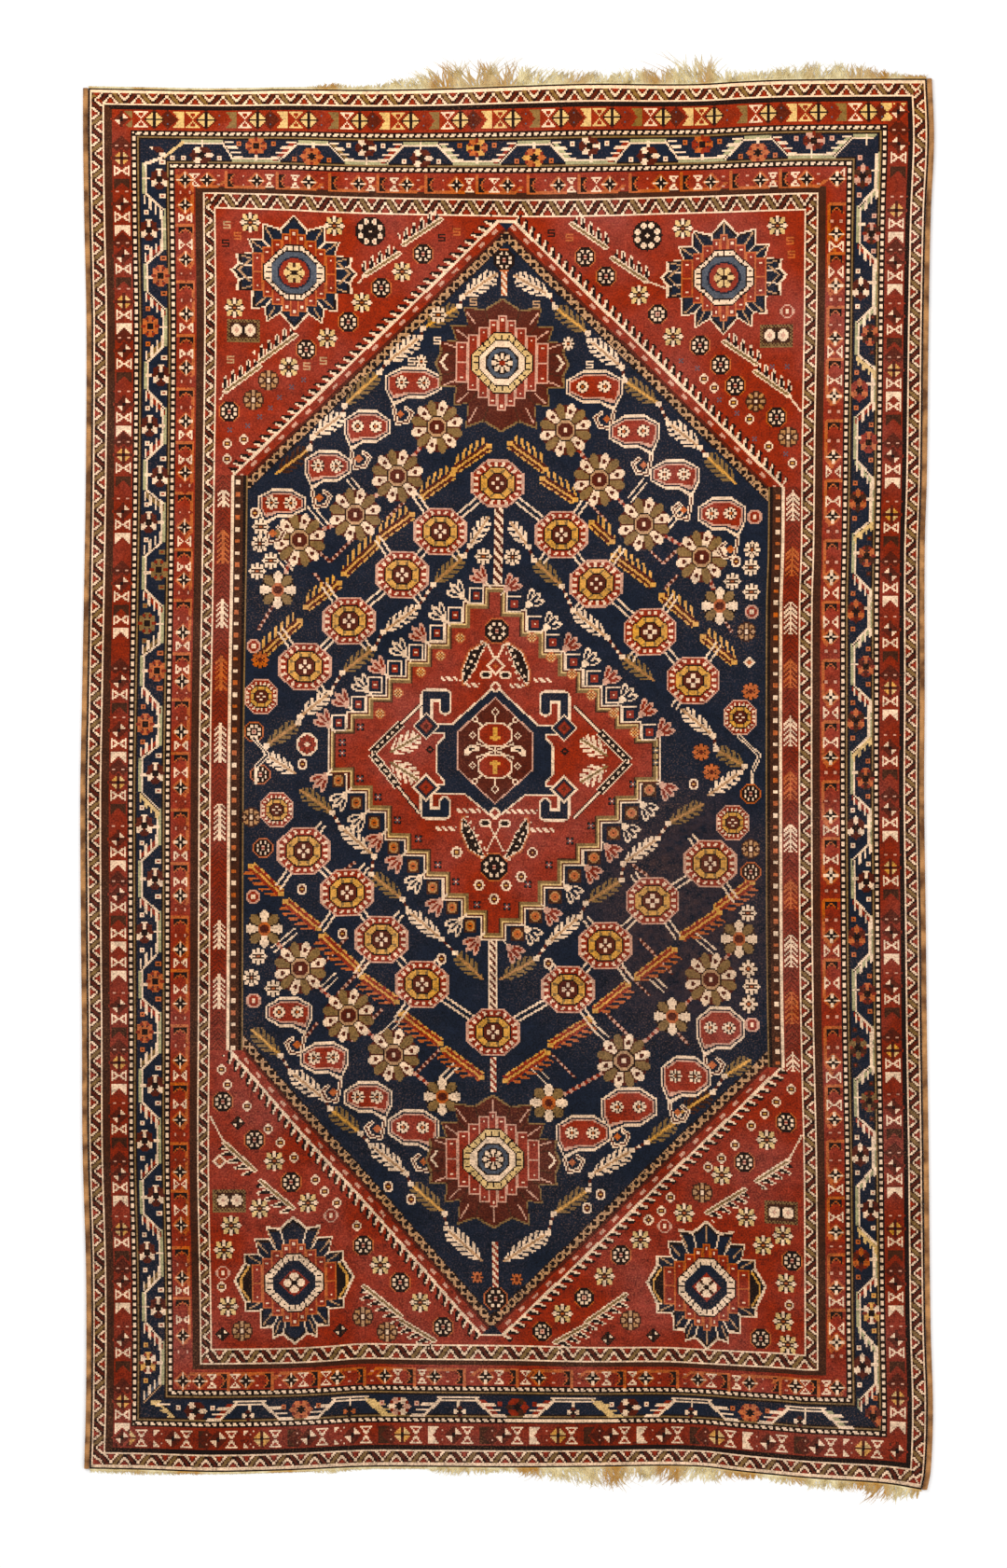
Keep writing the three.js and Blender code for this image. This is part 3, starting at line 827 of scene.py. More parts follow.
CHAIN_WOOLS = "cgcgcmcgcgcggcgcgcgbgcgc"
CHAINS = [  # line of each leaf beside the hexagon's edge, from a, d to a, d
    (-9, 335, -32, 319), (-34, 313, -58, 298), (-60, 292, -82, 275), (-87, 268, -110, 246),
    (-111, 240, -131, 225), (-133, 217, -155, 200), (3, 334, 26, 321), (30, 313, 52, 296),
    (53, 291, 75, 273), (77, 264, 100, 248), (107, 235, 128, 219), (132, 214, 152, 195),
    (-168, -164, -149, -181), (-142, -192, -120, -210), (-116, -217, -96, -234),
    (-89, -242, -66, -260), (-63, -267, -41, -286), (-40, -296, -17, -317), (162, -182, 145, -193),
    (137, -204, 114, -219), (113, -224, 93, -238), (83, -243, 56, -259), (54, -269, 31, -285),
    (27, -298, -2, -317)]
for wool, (a1, d1, a2, d2) in zip(CHAIN_WOOLS, CHAINS):
    if wool == "c":
        feather((a1, d1), (a2, d2), "i", 5.6, 4.6, "t")
    else:
        feather((a1, d1), (a2, d2), "v" if wool == "g" else "b", 5.4, 4.6, "g")
STEMS = [  # line of each one-sided leaf, from a, d to a, d
    (-13, 221, -36, 205), (-37, 202, -58, 187), (-64, 175, -86, 159), (-87, 156, -109, 135),
    (-112, 129, -134, 113), (-138, 104, -165, 80), (1, 223, 25, 206), (23, 200, 45, 186),
    (56, 171, 70, 158), (71, 149, 98, 129), (104, 122, 127, 103), (132, 95, 153, 78),
    (-169, -57, -149, -75), (-146, -80, -124, -98), (-122, -103, -98, -126), (-95, -131, -72, -147),
    (-69, -155, -43, -174), (-41, -178, -16, -196), (165, -66, 141, -84), (143, -86, 118, -103),
    (113, -111, 88, -130), (82, -134, 60, -151), (57, -157, 30, -174), (28, -179, 0, -198)]
for a1, d1, a2, d2 in STEMS:
    teeth, inner = ("o", "r") if d1 < 0 else ("g", "m")
    one_sided((a1, d1), (a2, d2), teeth, inner, 1 if (a2 - a1) * d1 > 0 else -1)
SPRAY_WOOLS = "cvcvcvccvcvcvcvcvcvvcvcv"
SPRAYS = [  # line of each spray beside the medallion
    (-13, 174, -25, 155), (-29, 148, -49, 129), (-59, 114, -82, 97), (-88, 86, -109, 70),
    (-117, 57, -137, 41), (-138, 37, -159, 22), (-159, 16, -140, 4), (2, 171, 14, 155),
    (18, 146, 37, 129), (45, 113, 68, 95), (78, 82, 99, 66), (118, 47, 139, 30), (141, 21, 160, 10),
    (157, 6, 136, -9), (-136, -7, -115, -22), (-109, -32, -87, -51), (-89, -63, -68, -79),
    (-64, -87, -42, -105), (-33, -114, -15, -131), (132, -15, 109, -28), (102, -38, 79, -54),
    (78, -65, 54, -80), (50, -89, 29, -106), (21, -117, -3, -131)]
for wool, (a1, d1, a2, d2) in zip(SPRAY_WOOLS, SPRAYS):
    if wool == "v":
        feather((a1, d1), (a2, d2), "v", 5.0, 4.6, "c")
    else:
        feather((a1, d1), (a2, d2), "i", 4.8, 4.8, "t")
for chain in (CHAINS, SPRAYS):
    for (_, _, a1, d1), (a2, d2, _, _) in zip(chain[:-1], chain[1:]):
        if np.hypot(a2 - a1, d2 - d1) < 24:      # one follows the other
            field.path([(a1, d1), (a2, d2)], "m", 2.2)
            field.path([(a1, d1), (a2, d2)], "i", rule=lambda s, q: s % 5.2 < 2.4, reach=1.0)
            for place in ((a1, d1), (a2, d2)):
                field.spot(*place, 1.7, "i", "box")
print("leaves, stems and sprays:", len(CHAINS) + len(STEMS) + len(SPRAYS))

# %% Rows of large flowers
EIGHT_SIDED = [
    (-7, 196.5), (-45, 164), (-70, 135), (-105, 104), (-134, 74), (36, 163), (60, 130.5),
    (96.5, 98), (125.5, 66), (-134, -47), (-105, -75), (-82, -106), (-55, -135), (-8, -166),
    (137, -54), (98.5, -79), (67, -108), (42, -137)]
TWELVE_PETALS = [
    (-48, 233), (-74, 200), (-102, 174), (-139, 157), (38, 232), (61, 199), (91, 169), (130, 147),
    (-136, -124), (-104, -156), (-74, -182), (137, -130), (78.5, -184)]
EIGHT_PETALS = [
    (-153, 124), (143, 115), (-160, -98), (156, -103), (111, -155), (-42, -209), (28.5, -212)]
LINKS = [  # double ivory lines through the eight-sided flowers of each quarter
    EIGHT_SIDED[1:5], EIGHT_SIDED[5:9], EIGHT_SIDED[9:13], EIGHT_SIDED[14:18],
]
crossings = [[(a - x * 13, d - y * 18), (a + x * 17, d + y * 24)]
             for line in LINKS for a, d in line for x, y in [(np.sign(a + 7), np.sign(d))]]
ends = [[(-7, 196), (-45, 164)], [(-7, 196), (36, 163)],
        [(-55, -135), (-8, -166)], [(42, -137), (-8, -166)]]
for line in LINKS + crossings + ends:
    field.path(line, "i", rule=lambda s, q: (abs(q) > 1.2) & (abs(q) < 2.5), reach=2.8)
BEADS = [  # pink dots on red from flower to flower
    [*TWELVE_PETALS[:4], EIGHT_PETALS[0]], [*TWELVE_PETALS[4:8], EIGHT_PETALS[1]],
    [EIGHT_PETALS[2], *TWELVE_PETALS[8:11], EIGHT_PETALS[5]],
    [EIGHT_PETALS[3], TWELVE_PETALS[11], EIGHT_PETALS[4], TWELVE_PETALS[12], EIGHT_PETALS[6]],
]
for line in BEADS:
    field.path(line, "r", 2.6)
    field.path(line, "p", rule=lambda s, q: s % 4.6 < 2.4, reach=1.3)
for a, d in EIGHT_SIDED:
    eight_sided(a, d)
for a, d in ((-163, 54), (157, 42), (-152, -20), (152, -27)):
    eight_sided(a, d, 11, 11)
for a, d in TWELVE_PETALS:
    large_flower(a, d)
for a, d in EIGHT_PETALS:
    rosette(field, a, d, 12.5, 8, "iv", "k", "k", 0.09)
    field.nest(a, d, (4.4, "o"), (2.6, "m"))
print("large flowers:", len(EIGHT_SIDED) + len(TWELVE_PETALS) + len(EIGHT_PETALS))
# %% [markdown]
# ## Botehs
#
# Sixteen botehs, the old bud shape with a bent tip, stand along the hexagon's inner rows. Each is
# a double ivory outline round a red body with two small flowers, and its tail runs into a hook
# that holds a lozenge.

# %% Botehs in four rows
BOTEHS = [  # way the hook turns (+1 right), then left, right, top, bottom and the hook's level
    (1, -82, -46, 271, 253, 237), (1, -109, -80, 242, 223, 207), (1, -135, -106, 215, 197, 181),
    (1, -166, -136, 189, 173, 157), (-1, 39, 75, 270, 251, 235), (-1, 68, 100, 240, 221, 204),
    (-1, 96, 127, 210, 193, 174), (-1, 128, 158, 185, 166, 148), (-1, -158, -129, -144, -161, -178),
    (-1, -135, -105, -174, -192, -210), (-1, -106, -76, -201, -219, -235),
    (-1, -77, -45, -219, -240, -256), (1, 128, 158, -149, -174, -190),
    (1, 104, 135, -182, -206, -222), (1, 64, 99, -203, -226, -238), (1, 34, 68, -221, -242, -255)]
for way, a1, a2, top, bottom, hook in BOTEHS:
    a, d = (a1 + a2) / 2, (top + bottom) / 2
    rx, ry = (a2 - a1) / 2 + 1, (top - bottom) / 2 + 1
    tail = a - way * rx * 0.78
    low, low_d = tail + way * 1.5, bottom - 7
    curl = [(low, low_d), (tail + way * 4, hook - 2), (tail + way * 11, hook - 1),
            (tail + way * 14, hook + 5), (tail + way * 10, hook + 8)]
    field.path(curl, "i", 3.4)
    field.path(curl, "m", 1.2)
    for inset, wool in ((0.0, "i"), (1.3, "n"), (2.3, "p"), (3.5, "r")):
        back = a - way * (rx - inset)
        field.shape([(back, d + ry * 0.4), (back, d - ry * 0.5), (low, low_d + inset * 2.2),
                     (a - way * rx * 0.1, bottom - 0.5 + inset), (a, d)], wool)
        field.spot(a, d, rx - inset, wool, "octagon", ry - inset)
    for shift in (-0.42, 0.36):
        small_flower(a + shift * rx, d, "I", 4.2)
    field.spot(tail + way * 6.5, hook + 4, 2.6, "o", "diamond")
print("botehs:", len(BOTEHS))

# %% [markdown]
# ## Palmettes
#
# A palmette is a large flower seen from above. Outermost are pointed leaves in one outline, then
# upright box petals that make a stepped diamond, and in the middle a cut diamond with rays and a
# small flower. Four navy ones fill the field's corners, and two maroon ones hang above and below
# the medallion.

# %% Parts of a palmette
PETAL_EDGES = np.array((2.5, 8.0, 14.5, 21.0, 28.3))     # far edge of each petal from the middle
PETAL_TOPS = np.array((29.0, 26.0, 21.5, 16.8, 12.4))    # and how high it stands


def mirrored(a, d, points):
    """Points counted from a place, on its left and again on its right, as two lists."""
    return [[(a + side * x, d + y) for x, y in points] for side in (-1, 1)]


def box_petals(a, d, wool, rim, grow=1.0):
    """Upright box petals side by side. Their ends step down from the middle, so together they are
    a stepped diamond. A knot's distance across picks its petal, and thin lines part the petals."""
    edges, tops = PETAL_EDGES * grow, PETAL_TOPS * grow

    def inside(A, D, inset):
        across, up = abs(A - a), abs(D - d)
        top = tops[np.minimum(np.searchsorted(edges, across), 4)]
        nearest_edge = np.min([abs(across - edge) for edge in edges], axis=0)
        return (across < edges[-1] - inset) & (up < top - inset) & (nearest_edge >= inset * 0.8)

    corners = (a - edges[-1], d - tops[0]), (a + edges[-1], d + tops[0])
    field.fill(*corners, rim, lambda A, D: inside(A, D, 0.0))
    field.fill(*corners, wool, lambda A, D: (
        inside(A, D, 1.0) & ((abs(A - a) < edges[3]) | (abs(D - d) > 0.7))))
    for middle, top in zip((edges + np.array([-edges[0], *edges[:-1]])) / 2, tops):
        for x in {middle, -middle}:
            for y in (3.6 - top, top - 3.6):
                field.spot(a + x, d + y, 0.8, "i", "box")


def segmented(a, d, rx, ry, wool, count=28, thick=5.0):
    """A cut diamond whose rim is parted into segments by thin black rays."""
    field.nest(a, d, (rx, "k", "lozenge", ry), (rx - 0.8, wool, "lozenge", ry - 0.8))

    def cuts(A, D):
        turn = np.arctan2((D - d) / ry, (A - a) / rx) / (2 * np.pi) * count
        return ((turn % 1 < 0.2) & (np.hypot(A - a, D - d) > min(rx, ry) - thick - 2.5)
                & (np.hypot((A - a) / rx, (D - d) / ry) < 0.93))
    field.fill((a - rx, d - ry), (a + rx, d + ry), "k", cuts)


def leaves(a, d, outline, rims, vein, seam):
    """Pointed leaves as one outline. It is given as corners from the top round the right side to
    the bottom and repeated on the left. rims are (share of full size, wool) pairs. Every second
    corner is a tip, where a vein ends, and the others are notches, where a seam begins. The tip at
    the side has no vein."""
    both = outline + [(-x, y) for x, y in outline[::-1]]
    for grow, wool in rims:
        field.shape([(a + x * grow, d + y * grow) for x, y in both], wool)
    for n, (x, y) in enumerate(outline):
        if n == len(outline) // 2:
            continue
        shares, wool = ((0.0, 1.0), seam) if n % 2 else ((0.68, 0.9), vein)
        for side in (-1, 1):
            field.path([(a + side * x * share, d + y * share) for share in shares], wool, 1.2)


# %% Corner palmettes
UPPER_LEAVES = [
    (0, 38.5), (9, 28.7), (21, 32), (21.5, 21.5), (31, 22), (27.4, 12.4), (39, 11.6), (38, 5),
    (42.5, 1), (38, -5), (39, -12.8), (28.7, -13), (29, -25), (20, -23.5), (19, -33), (9.5, -27),
    (0, -38)]
LOWER_LEAVES = [
    (0, 44), (9, 36.3), (18.5, 37.5), (16, 29.5), (26, 29.5), (23.6, 19.5), (33, 19.8), (33, 13.5),
    (40, 2), (33, -13), (33.5, -18.5), (23, -18), (22.6, -29.5), (15, -29), (14.5, -36.5), (8, -34),
    (0, -41)]
NAVY_RIMS = (1.0, "i"), (0.955, "k"), (0.91, "n")
for a, d in ((-144, 332), (142.6, 330)):
    leaves(a, d, UPPER_LEAVES, NAVY_RIMS, "t", "i")
    for line in mirrored(a, d, [(30, 7), (37, 1), (30, -6)]):
        field.path(line, "t", 1.4)
    box_petals(a, d, "r", "o")
    segmented(a, d, 20.5, 18.6, "i")
    field.nest(a, d, (15.4, "k", "octagon", 14), (14.6, "s", "octagon", 13.2),
               (11.2, "n", "disc", 10.4), (9.8, "r", "disc", 9.4))
    rosette(field, a, d, 7.0, 6, "y", "k", "b", 0.14)
for a, d in ((-141, -330), (131.4, -332)):
    leaves(a, d, LOWER_LEAVES, NAVY_RIMS, "t", "i")
    for patch in mirrored(a, d, [(28, 14), (35, 4), (35, -4), (28, -14)]):
        field.shape(patch, "k")
    for line in mirrored(a, d, [(30, 11), (35, 3), (35, -3), (30, -11)]):
        field.path(line, "g", 1.6)
    box_petals(a, d, "r", "o")
    segmented(a, d, 19.5, 19.2, "i")
    field.nest(a, d, (14.0, "n", "lozenge"), (9.8, "r", "diamond", 9.4))
    rosette(field, a, d, 7.0, 4, "i", "k", "b", 0.14)
print("corners of a leafy outline:", 2 * len(UPPER_LEAVES))

# %% Maroon palmettes above and below the medallion
MAROON_LEAVES = [
    (0, 43), (12, 35.5), (26.5, 37), (23, 25), (34.5, 24), (31, 14.5), (42.5, 13.5), (41.5, 7),
    (45, -1), (41.5, -9), (42.5, -16.5), (31, -16.5), (32.5, -29), (22.4, -27.3), (24, -43.5),
    (12, -39), (0, -46)]
for a, d in ((-5, 276), (-8.7, -250)):
    leaves(a, d, MAROON_LEAVES, ((1.0, "v"), (0.965, "m")), "p", "b")
    for line in mirrored(a, d, [(37, 5), (41, 0), (37, -5)]):
        field.path(line, "i", 1.8)
    box_petals(a, d, "r", "p", 1.1)
    segmented(a, d, 20.5, 20, "y", 24, 4.0)
    field.nest(a, d, (15.5, "k", "lozenge"), (14.8, "i", "lozenge"), (10.6, "k"),
               (9.8, "s", "disc"), (7.4, "k", "disc"))
    rosette(field, a, d, 7.0, 8, "i", "r", "k", 0.2)

# %% Poles and stems on the middle line
def barber(a, low, high, half, wools, pitch):
    """A striped pole: slanted stripes of two wools between two thin lines."""
    corners = (a - half, low), (a + half, high)
    field.fill(*corners, wools[0])
    field.fill(*corners, wools[1], lambda A, D: (
        (abs(A - a) < half - 0.8) & (D >= low) & (D < high) & ((A * 1.2 + D) % pitch < pitch / 2)))


POLES = [  # place across, foot, top, half-width, two wools and the pitch of the stripes
    (-4, 321, 337, 2.4, "io", 5), (-6, 129, 181, 3.4, "im", 6.5), (-8, -335, -304, 2.4, "ir", 5),
    (-8, -150, -104, 2.6, "im", 5), (-8, -205, -182, 2.4, "ir", 5)]
for pole in POLES:
    barber(*pole)
small_flower(-4, 344, "K", 7)
small_flower(-8, -342, "K", 7.5)
field.stamp(["kkkkkkk", "..kkk..", "..kkk..", "...k..."], -3, 360)
field.stamp(["..kkk..", ".kkkkk.", "kkkkkkk", "kk...kk"], -8, -352)
print("striped poles:", len(POLES))
# %% [markdown]
# ## The medallion
#
# The middle is a stepped red diamond. Its sides go down in eight steps a quarter, each step about
# thirteen knots by twelve, edged by lines of ivory, maroon, pale yellow, olive and brown. Inside
# lies a navy hexagon with four hooks. Nested outlines are knotted by drawing the largest first.

# %% Stepped outline
MIDDLE = -7.3
UPPER_STEPS = (128, 117, 104, 90, 78, 67, 54.6, 43, 33.6)      # level of each step on the left
LOWER_STEPS = (4, -8, -21, -39, -49.5, -64, -78, -89, -104)


DROP = 5        # the right half lies this much lower, as on the real rug


def stepped(inset):
    """Corners of the medallion: the right half from the top down, then the left one upwards. Each
    step runs 12.8 knots out. inset moves every edge inwards."""
    half = 7.3 + 12.8 * np.arange(9) - inset
    upper, lower = np.array(UPPER_STEPS) - inset, np.array(LOWER_STEPS) + inset

    def side(way, drop):
        """Two corners for each step. The topmost and the lowest edges aren't dropped."""
        widths = [*half, *half[-2::-1]]
        levels = [upper[0], *(upper[1:] - drop), *(lower[:-1] - drop), lower[-1]]
        return list(zip(MIDDLE + way * np.repeat(widths, 2), np.repeat(levels, 2)[1:-1]))
    return side(1, DROP) + side(-1, 0.0)[::-1]


for inset, wool in ((-1.4, "i"), (-0.3, "m"), (0.8, "y"), (1.8, "v"), (3.1, "b"), (3.9, "r")):
    field.shape(stepped(inset), wool)
print("corners of the medallion:", len(stepped(0)))

# %% Squares in the notches and fingers outside
NOTCHES = {  # main wool of the square in each notch of the left half, and its places
    "n": [(-20, 122), (-34, 109), (-46, 97), (-60, 84), (-74, 73), (-87, 62), (-98, 49),
          (-111, 37)],
    "o": [(-111, -1), (-99, -16), (-87, -29), (-74, -45), (-61, -57), (-48, -71), (-35, -84),
          (-23, -96)],
}
FINGERS = {  # wool: places; each has three fingers that point away from the medallion
    "p": [(-17, 134), (-57, 95), (-84, 73), (-108, 51), (-120, 38), (-85, -40), (-72, -54),
          (-45, -82), (-20, -107), (-122, 0)],
    "i": [(-32, 124), (-44, 109), (-70, 85), (-95, 61), (-109, -13), (-97, -27), (-59, -67),
          (-32, -95)],
}
SQUARES = {  # what is nested in each notch
    "n": ((5.0, "i", "box"), (4.3, "n", "box"), (2.2, "r", "box"), (0.7, "i", "box")),
    "o": ((4.4, "b", "box"), (3.4, "c"), (2.2, "o"), (0.7, "k", "box")),
}
for wool, places in NOTCHES.items():
    for a, d in places:
        for place in ((a, d), (2 * MIDDLE - a, d - DROP)):
            field.nest(*place, *SQUARES[wool])


def finger(s, q):
    """Half-width of a finger from its wrist: broadest past the middle, thin at the tip."""
    return abs(q) < np.interp(s, (0, 7, 10.4, 13.2), (0.8, 2.1, 1.8, 0.4))


FINGER_TURNS, FINGER_REACH = np.radians((2, 45, 88)), 8.2
for wool, places in FINGERS.items():
    for a, d in places:
        up = 1 if d > 15 else -1
        for x, y, side in ((a, d, -1), (2 * MIDDLE - a, d - DROP, 1)):
            wrist = x - side * 3.5, y - up * 3.5
            tips = [(x + side * FINGER_REACH * np.cos(turn), y + up * FINGER_REACH * np.sin(turn))
                    for turn in FINGER_TURNS]
            for tip in tips:
                field.path([wrist, tip], wool, reach=2.6, rule=finger)
            for tip in tips:
                field.path([wrist, tip], "d" if wool == "p" else "n", reach=1.4,
                           rule=lambda s, q: (abs(q) < 1.0) & (s > 4.0) & (s < 10.2))
            field.path([wrist, (wrist[0] - side * 3, wrist[1] - up * 3)], "i", 1.4)

# %% The navy hexagon with its hooks
AXIS = -6.5     # middle of the hexagon and of what lies in it


def lozenge(a, d, r, heart):
    """An ivory diamond with a maroon one of half-width heart in it."""
    field.nest(a, d, (r, "i", "diamond"), (heart, "m", "diamond"))


HOOKED = [  # lozenge's place, then level of the hook's far side and of its tip
    (46, 35.5, 56, 47), (46, -5, -22, -14.5),
]
HALF_OUTLINE = [
    (0, 62), (28.5, 36.5), (42, 36.5), (42, 31.8), (34, 31.6), (33, 28.7), (38, 23.3), (38, 5),
    (33, -0.6), (34, -3.5), (42, -3.7), (42, -8.4), (20, -8.4), (0, -24.5)]
outline = [(AXIS + a, d) for a, d in HALF_OUTLINE + [(-a, d) for a, d in HALF_OUTLINE[-2:0:-1]]]
hooks = [line for a, d, far, tip in HOOKED
         for line in mirrored(AXIS, 0, [(a, d), (a, far), (a - 12.5, far), (a - 12.5, tip)])]
for reach, wool in ((4.1, "i"), (2.9, "n")):
    for hook in hooks:
        field.path(hook, wool, reach=reach)
    if wool == "i":
        field.path(outline + outline[:1], wool, reach=1.2)
field.shape(outline, "n")
for hook in hooks:
    field.nest(*hook[0], (9.0, "i", "diamond"), (7.8, "n", "diamond"), (5.4, "m", "diamond"),
               (4.4, "r", "diamond"), (1.6, "m", "diamond"))
for half, up, down, top, bottom, wool in (
        (25.6, 32, 7.5, 55.6, -15.6, "p"), (24.6, 31.5, 8, 54.4, -14.4, "m")):
    field.shape([(AXIS, top), (AXIS + half, up), (AXIS + half, down), (AXIS, bottom),
                 (AXIS - half, down), (AXIS - half, up)], wool)
for d, up in ((30.5, 1), (9.5, -1)):
    field.path([(AXIS, 20), (AXIS, d + up * 13)], "i", 1.3)
    lozenge(AXIS, d + up * 15, 3.0, 1.6)
    field.nest(AXIS, d, (11.4, "i", "octagon", 8.4), (10.4, "r", "octagon", 7.4))
    field.spot(AXIS, d + up, 1.6, "g", "box", 4.2)
    field.spot(AXIS, d - up * 2.0, 3.2, "g", "octagon", 1.8)
    for x in (-1, 1):
        field.path([(AXIS + 9 * x, d + up * 6), (AXIS + 13.5 * x, d + up * 10)], "i", 1.3)
        lozenge(AXIS + 13.5 * x, d + up * 10, 2.8, 1.4)
        lozenge(AXIS + 15 * x, d - up * 0.5, 2.8, 1.4)
        field.path([(AXIS, 20), (AXIS + 12 * x, d - up * 6)], "i", 1.4)
for wing in mirrored(AXIS, 0, [(12, 21), (15.5, 22), (19, 18.5)]):
    field.path(wing, "i", reach=1.9)
for core in mirrored(AXIS, 0, [(14, 21), (17, 20.4)]):
    field.path(core, "k", reach=0.6)
for d in (62, -21):
    field.nest(AXIS, d, (3.4, "i", "disc"), (2.2, "r", "disc"))

# %% Lines and small flowers inside the medallion
for apex, upper, lower in (((-89, 17), (-56, 50), (-57, -22)), ((83, 13), (46, 50), (46, -24))):
    for finish in (upper, lower):
        field.path([apex, finish], "k", rule=lambda s, q: (s < 28) | (abs(q) < 1.4), reach=2.8)
        field.path([apex, finish], "i", reach=2.8, rule=lambda s, q: np.where(
            s < 28, (abs(q) > 2.0) | ((abs(q) < 0.9) & (s % 4.6 < 2.2)), abs(q) < 0.6))
for start, finish in (((-57, 29), (-76, 18)), ((-58, 0), (-76, 11)),
                      ((51, 28), (68, 17)), ((51, 0), (68, 10))):
    feather(start, finish, "i", 6.4, 5.0, "v")
for root, tip, way in ((91, 64, -1), (-51, -25, 1)):
    for wing in mirrored(AXIS, 0, [(7, root), (17, root + way * 6), (22, tip - way * 8),
                                   (21, tip), (14, tip - way * 10), (11, root + way * 9)]):
        field.path(wing[:4], "o", 4.6)
        field.path(wing + wing[:1], "i", 1.6)
        field.shape(wing, "k")
        field.path([wing[0], wing[3]], "i", reach=4,
                   rule=lambda s, q: (s % 4.8 < 1.8) & (abs(q % 3.8 - 1) < 0.8))
for top, bottom in ((90, 68), (-26, -46)):
    field.path([(-12, top), (-1, bottom)], "i", 1.3)
    field.path([(-1, top), (-12, bottom)], "i", 1.3)
small_flower(-6, 99, "K", 8)
small_flower(-7, -57, "K", 9)
small_flower(-6.5, 76, "D", 6)
for a, d in ((-13, 70), (0, 70), (-13, -28), (0, -28)):
    field.nest(a, d, (4.0, "i", "disc", 2.8), (2.8, "k", "disc", 1.6))
for a1, a2, d in ((-43, -32, 67), (19, 31, 67), (-26, -17, 63), (3, 12, 63), (-32, -16, -19.6),
                  (0, 22, -19.6), (-46, -32, -31.7), (17, 33, -31.7)):
    field.path([(a1, d), (a2, d)], "i", rule=lambda s, q: (s + q) % 4.4 < 2.5, reach=1.6)
ORANGE = [
    (-30, 94), (-43.5, 82), (-56, 71), (-71, 57), (-83, 43), (18, 95), (31, 82.5), (45, 71),
    (58, 57.5), (73, 45), (87, 32)]
GREY = [
    (-96, 34), (-108, 24), (-108, 17), (-96, 0), (-84, -12), (-71, -27), (-57, -39), (-44, -56),
    (-32, -67), (-18.5, -82), (101, 20), (101, 12), (86, -2), (72, -13), (58, -29), (44, -39),
    (30, -55), (16, -67.5), (1.5, -83)]
RINGS = [(-32, -47.5), (-17, -69), (-7, -78), (18.5, -47), (11, -63), (1, -69)]
for a, d in ORANGE:
    field.stamp("..ooo.. .oyryo. oyrgryo orgrgro oyrgryo .oyryo. ..ooo..".split(), a, d)
for a, d in GREY:
    field.stamp("kk.kk ks.sk ..i.. ks.sk kk.kk".split(), a, d)
for a, d in RINGS:
    small_flower(a, d, "R", 3.6)
for a in (-50, 40):
    field.nest(a, 20, (3.2, "k", "diamond"), (1.2, "r", "diamond"))
print("small flowers in the medallion:", len(ORANGE) + len(GREY) + len(RINGS))

# %% Small flowers on the navy
STREWN = [  # kind, half-width, places
    ("I", 5.5, [
        (-165, 165), (-165.5, 154), (-158, 143), (-167, 136), (-16, 148), (3.5, 148), (-164, -116),
        (-168.5, -130), (-154, -137), (163.5, 151.6), (163, 140), (151, 131), (164, 124),
        (162, -86), (162, -122.5), (164, -134), (162, -145.5), (-48, 307)]),
    ("S", 4.6, [(-167.5, -77), (165, 173), (164.6, 111), (-167, -145), (164, -159), (-168.5, 87)]),
    ("K", 6.2, [(-167.5, 31), (-163, 3), (-161, -45), (164, -8), (164, -59)]),
    ("B", 6.0, [(-169, -25), (161, 98), (164, -44)]), ("P", 7.0, [(-132, 23)]),
    ("O", 6.0, [(131, 19), (138, 6), (-164, 78), (164, 59)]),
    ("R", 3.4, [
        (-78, -269), (-63, -277), (62, -272), (53, -281), (-42, -118), (29, -120), (153, 144),
        (-169, 174), (-135, -72), (-108, -102), (-135, 10), (126, -2)]),
    ("O", 4.0, [(-20, -328), (6, -329)]), ("I", 4.0, [(-59, 276), (39, 289)]),
    ("D", 4.0, [(163, 78)])]
for kind, r, places in STREWN:
    for a, d in places:
        small_flower(a, d, kind, r)
for a, d, wool in ((-24.5, 316, "t"), (18, 315, "t"), (-48, 290, "i"), (-65, 276, "i"),
                   (54, 275, "i")):
    hook_s(a, d, wool)
for zigzag in ([(-168, 27), (-158, 16), (-166, 8), (-166, -2)],
               [(156, 30), (170, 17), (165, 6), (165, 0)]):
    field.path(zigzag, "i", 3.2)
    field.path(zigzag, "n", 1.2)
print("strewn on the navy:", sum(len(places) for _, _, places in STREWN))

# %% Tendrils between the rows
DOTTED = [  # corners of each dotted tendril on one side of the middle
    [(90, -104), (111, -127)], [(67, -152), (87, -173)], [(29, -178), (46, -195)],
    [(110, -160), (121, -173)], [(85, -55), (96, -63)], [(75, -120), (96, -141)],
    [(113, 151), (104, 143), (86, 161)], [(114, 135), (106, 126)], [(141, 114), (151, 98)],
    [(62, 212), (50, 200)], [(66, 172), (54, 184)]]
DOUBLE = [  # and of each double one
    [(97, -129), (107, -138)], [(56, -159), (68, -170)], [(18, -188), (28, -198)],
    [(124, -99), (140, -112)], [(92, 198), (81, 185)], [(118, 180), (106, 166)],
    [(140, 148), (130, 136)]]
bare = Ground(chart, *FIELD_ORIGIN, allowed=chart == NUMBER["n"])    # where nothing is knotted yet
for tendrils in (DOTTED, DOUBLE):
    for corners in tendrils:
        for points in (corners, [(2 * MIDDLE - a, d) for a, d in corners]):
            if tendrils is DOTTED:
                bare.path(points, "m", reach=1.0)
                bare.path(points, "p", reach=1.0, rule=lambda s, q: s % 3.6 < 1.7)
            else:
                bare.path(points, "i", reach=2.3, rule=lambda s, q: abs(abs(q) - 1.7) < 0.5)
print("tendrils:", 2 * len(DOTTED + DOUBLE))

# %% [markdown]
# ## The four red corners
#
# Round each corner palmette lie small flowers, rings, squared hooks and two leafy sprays with
# black teeth. They differ from corner to corner, because the weaver filled gaps as they came.

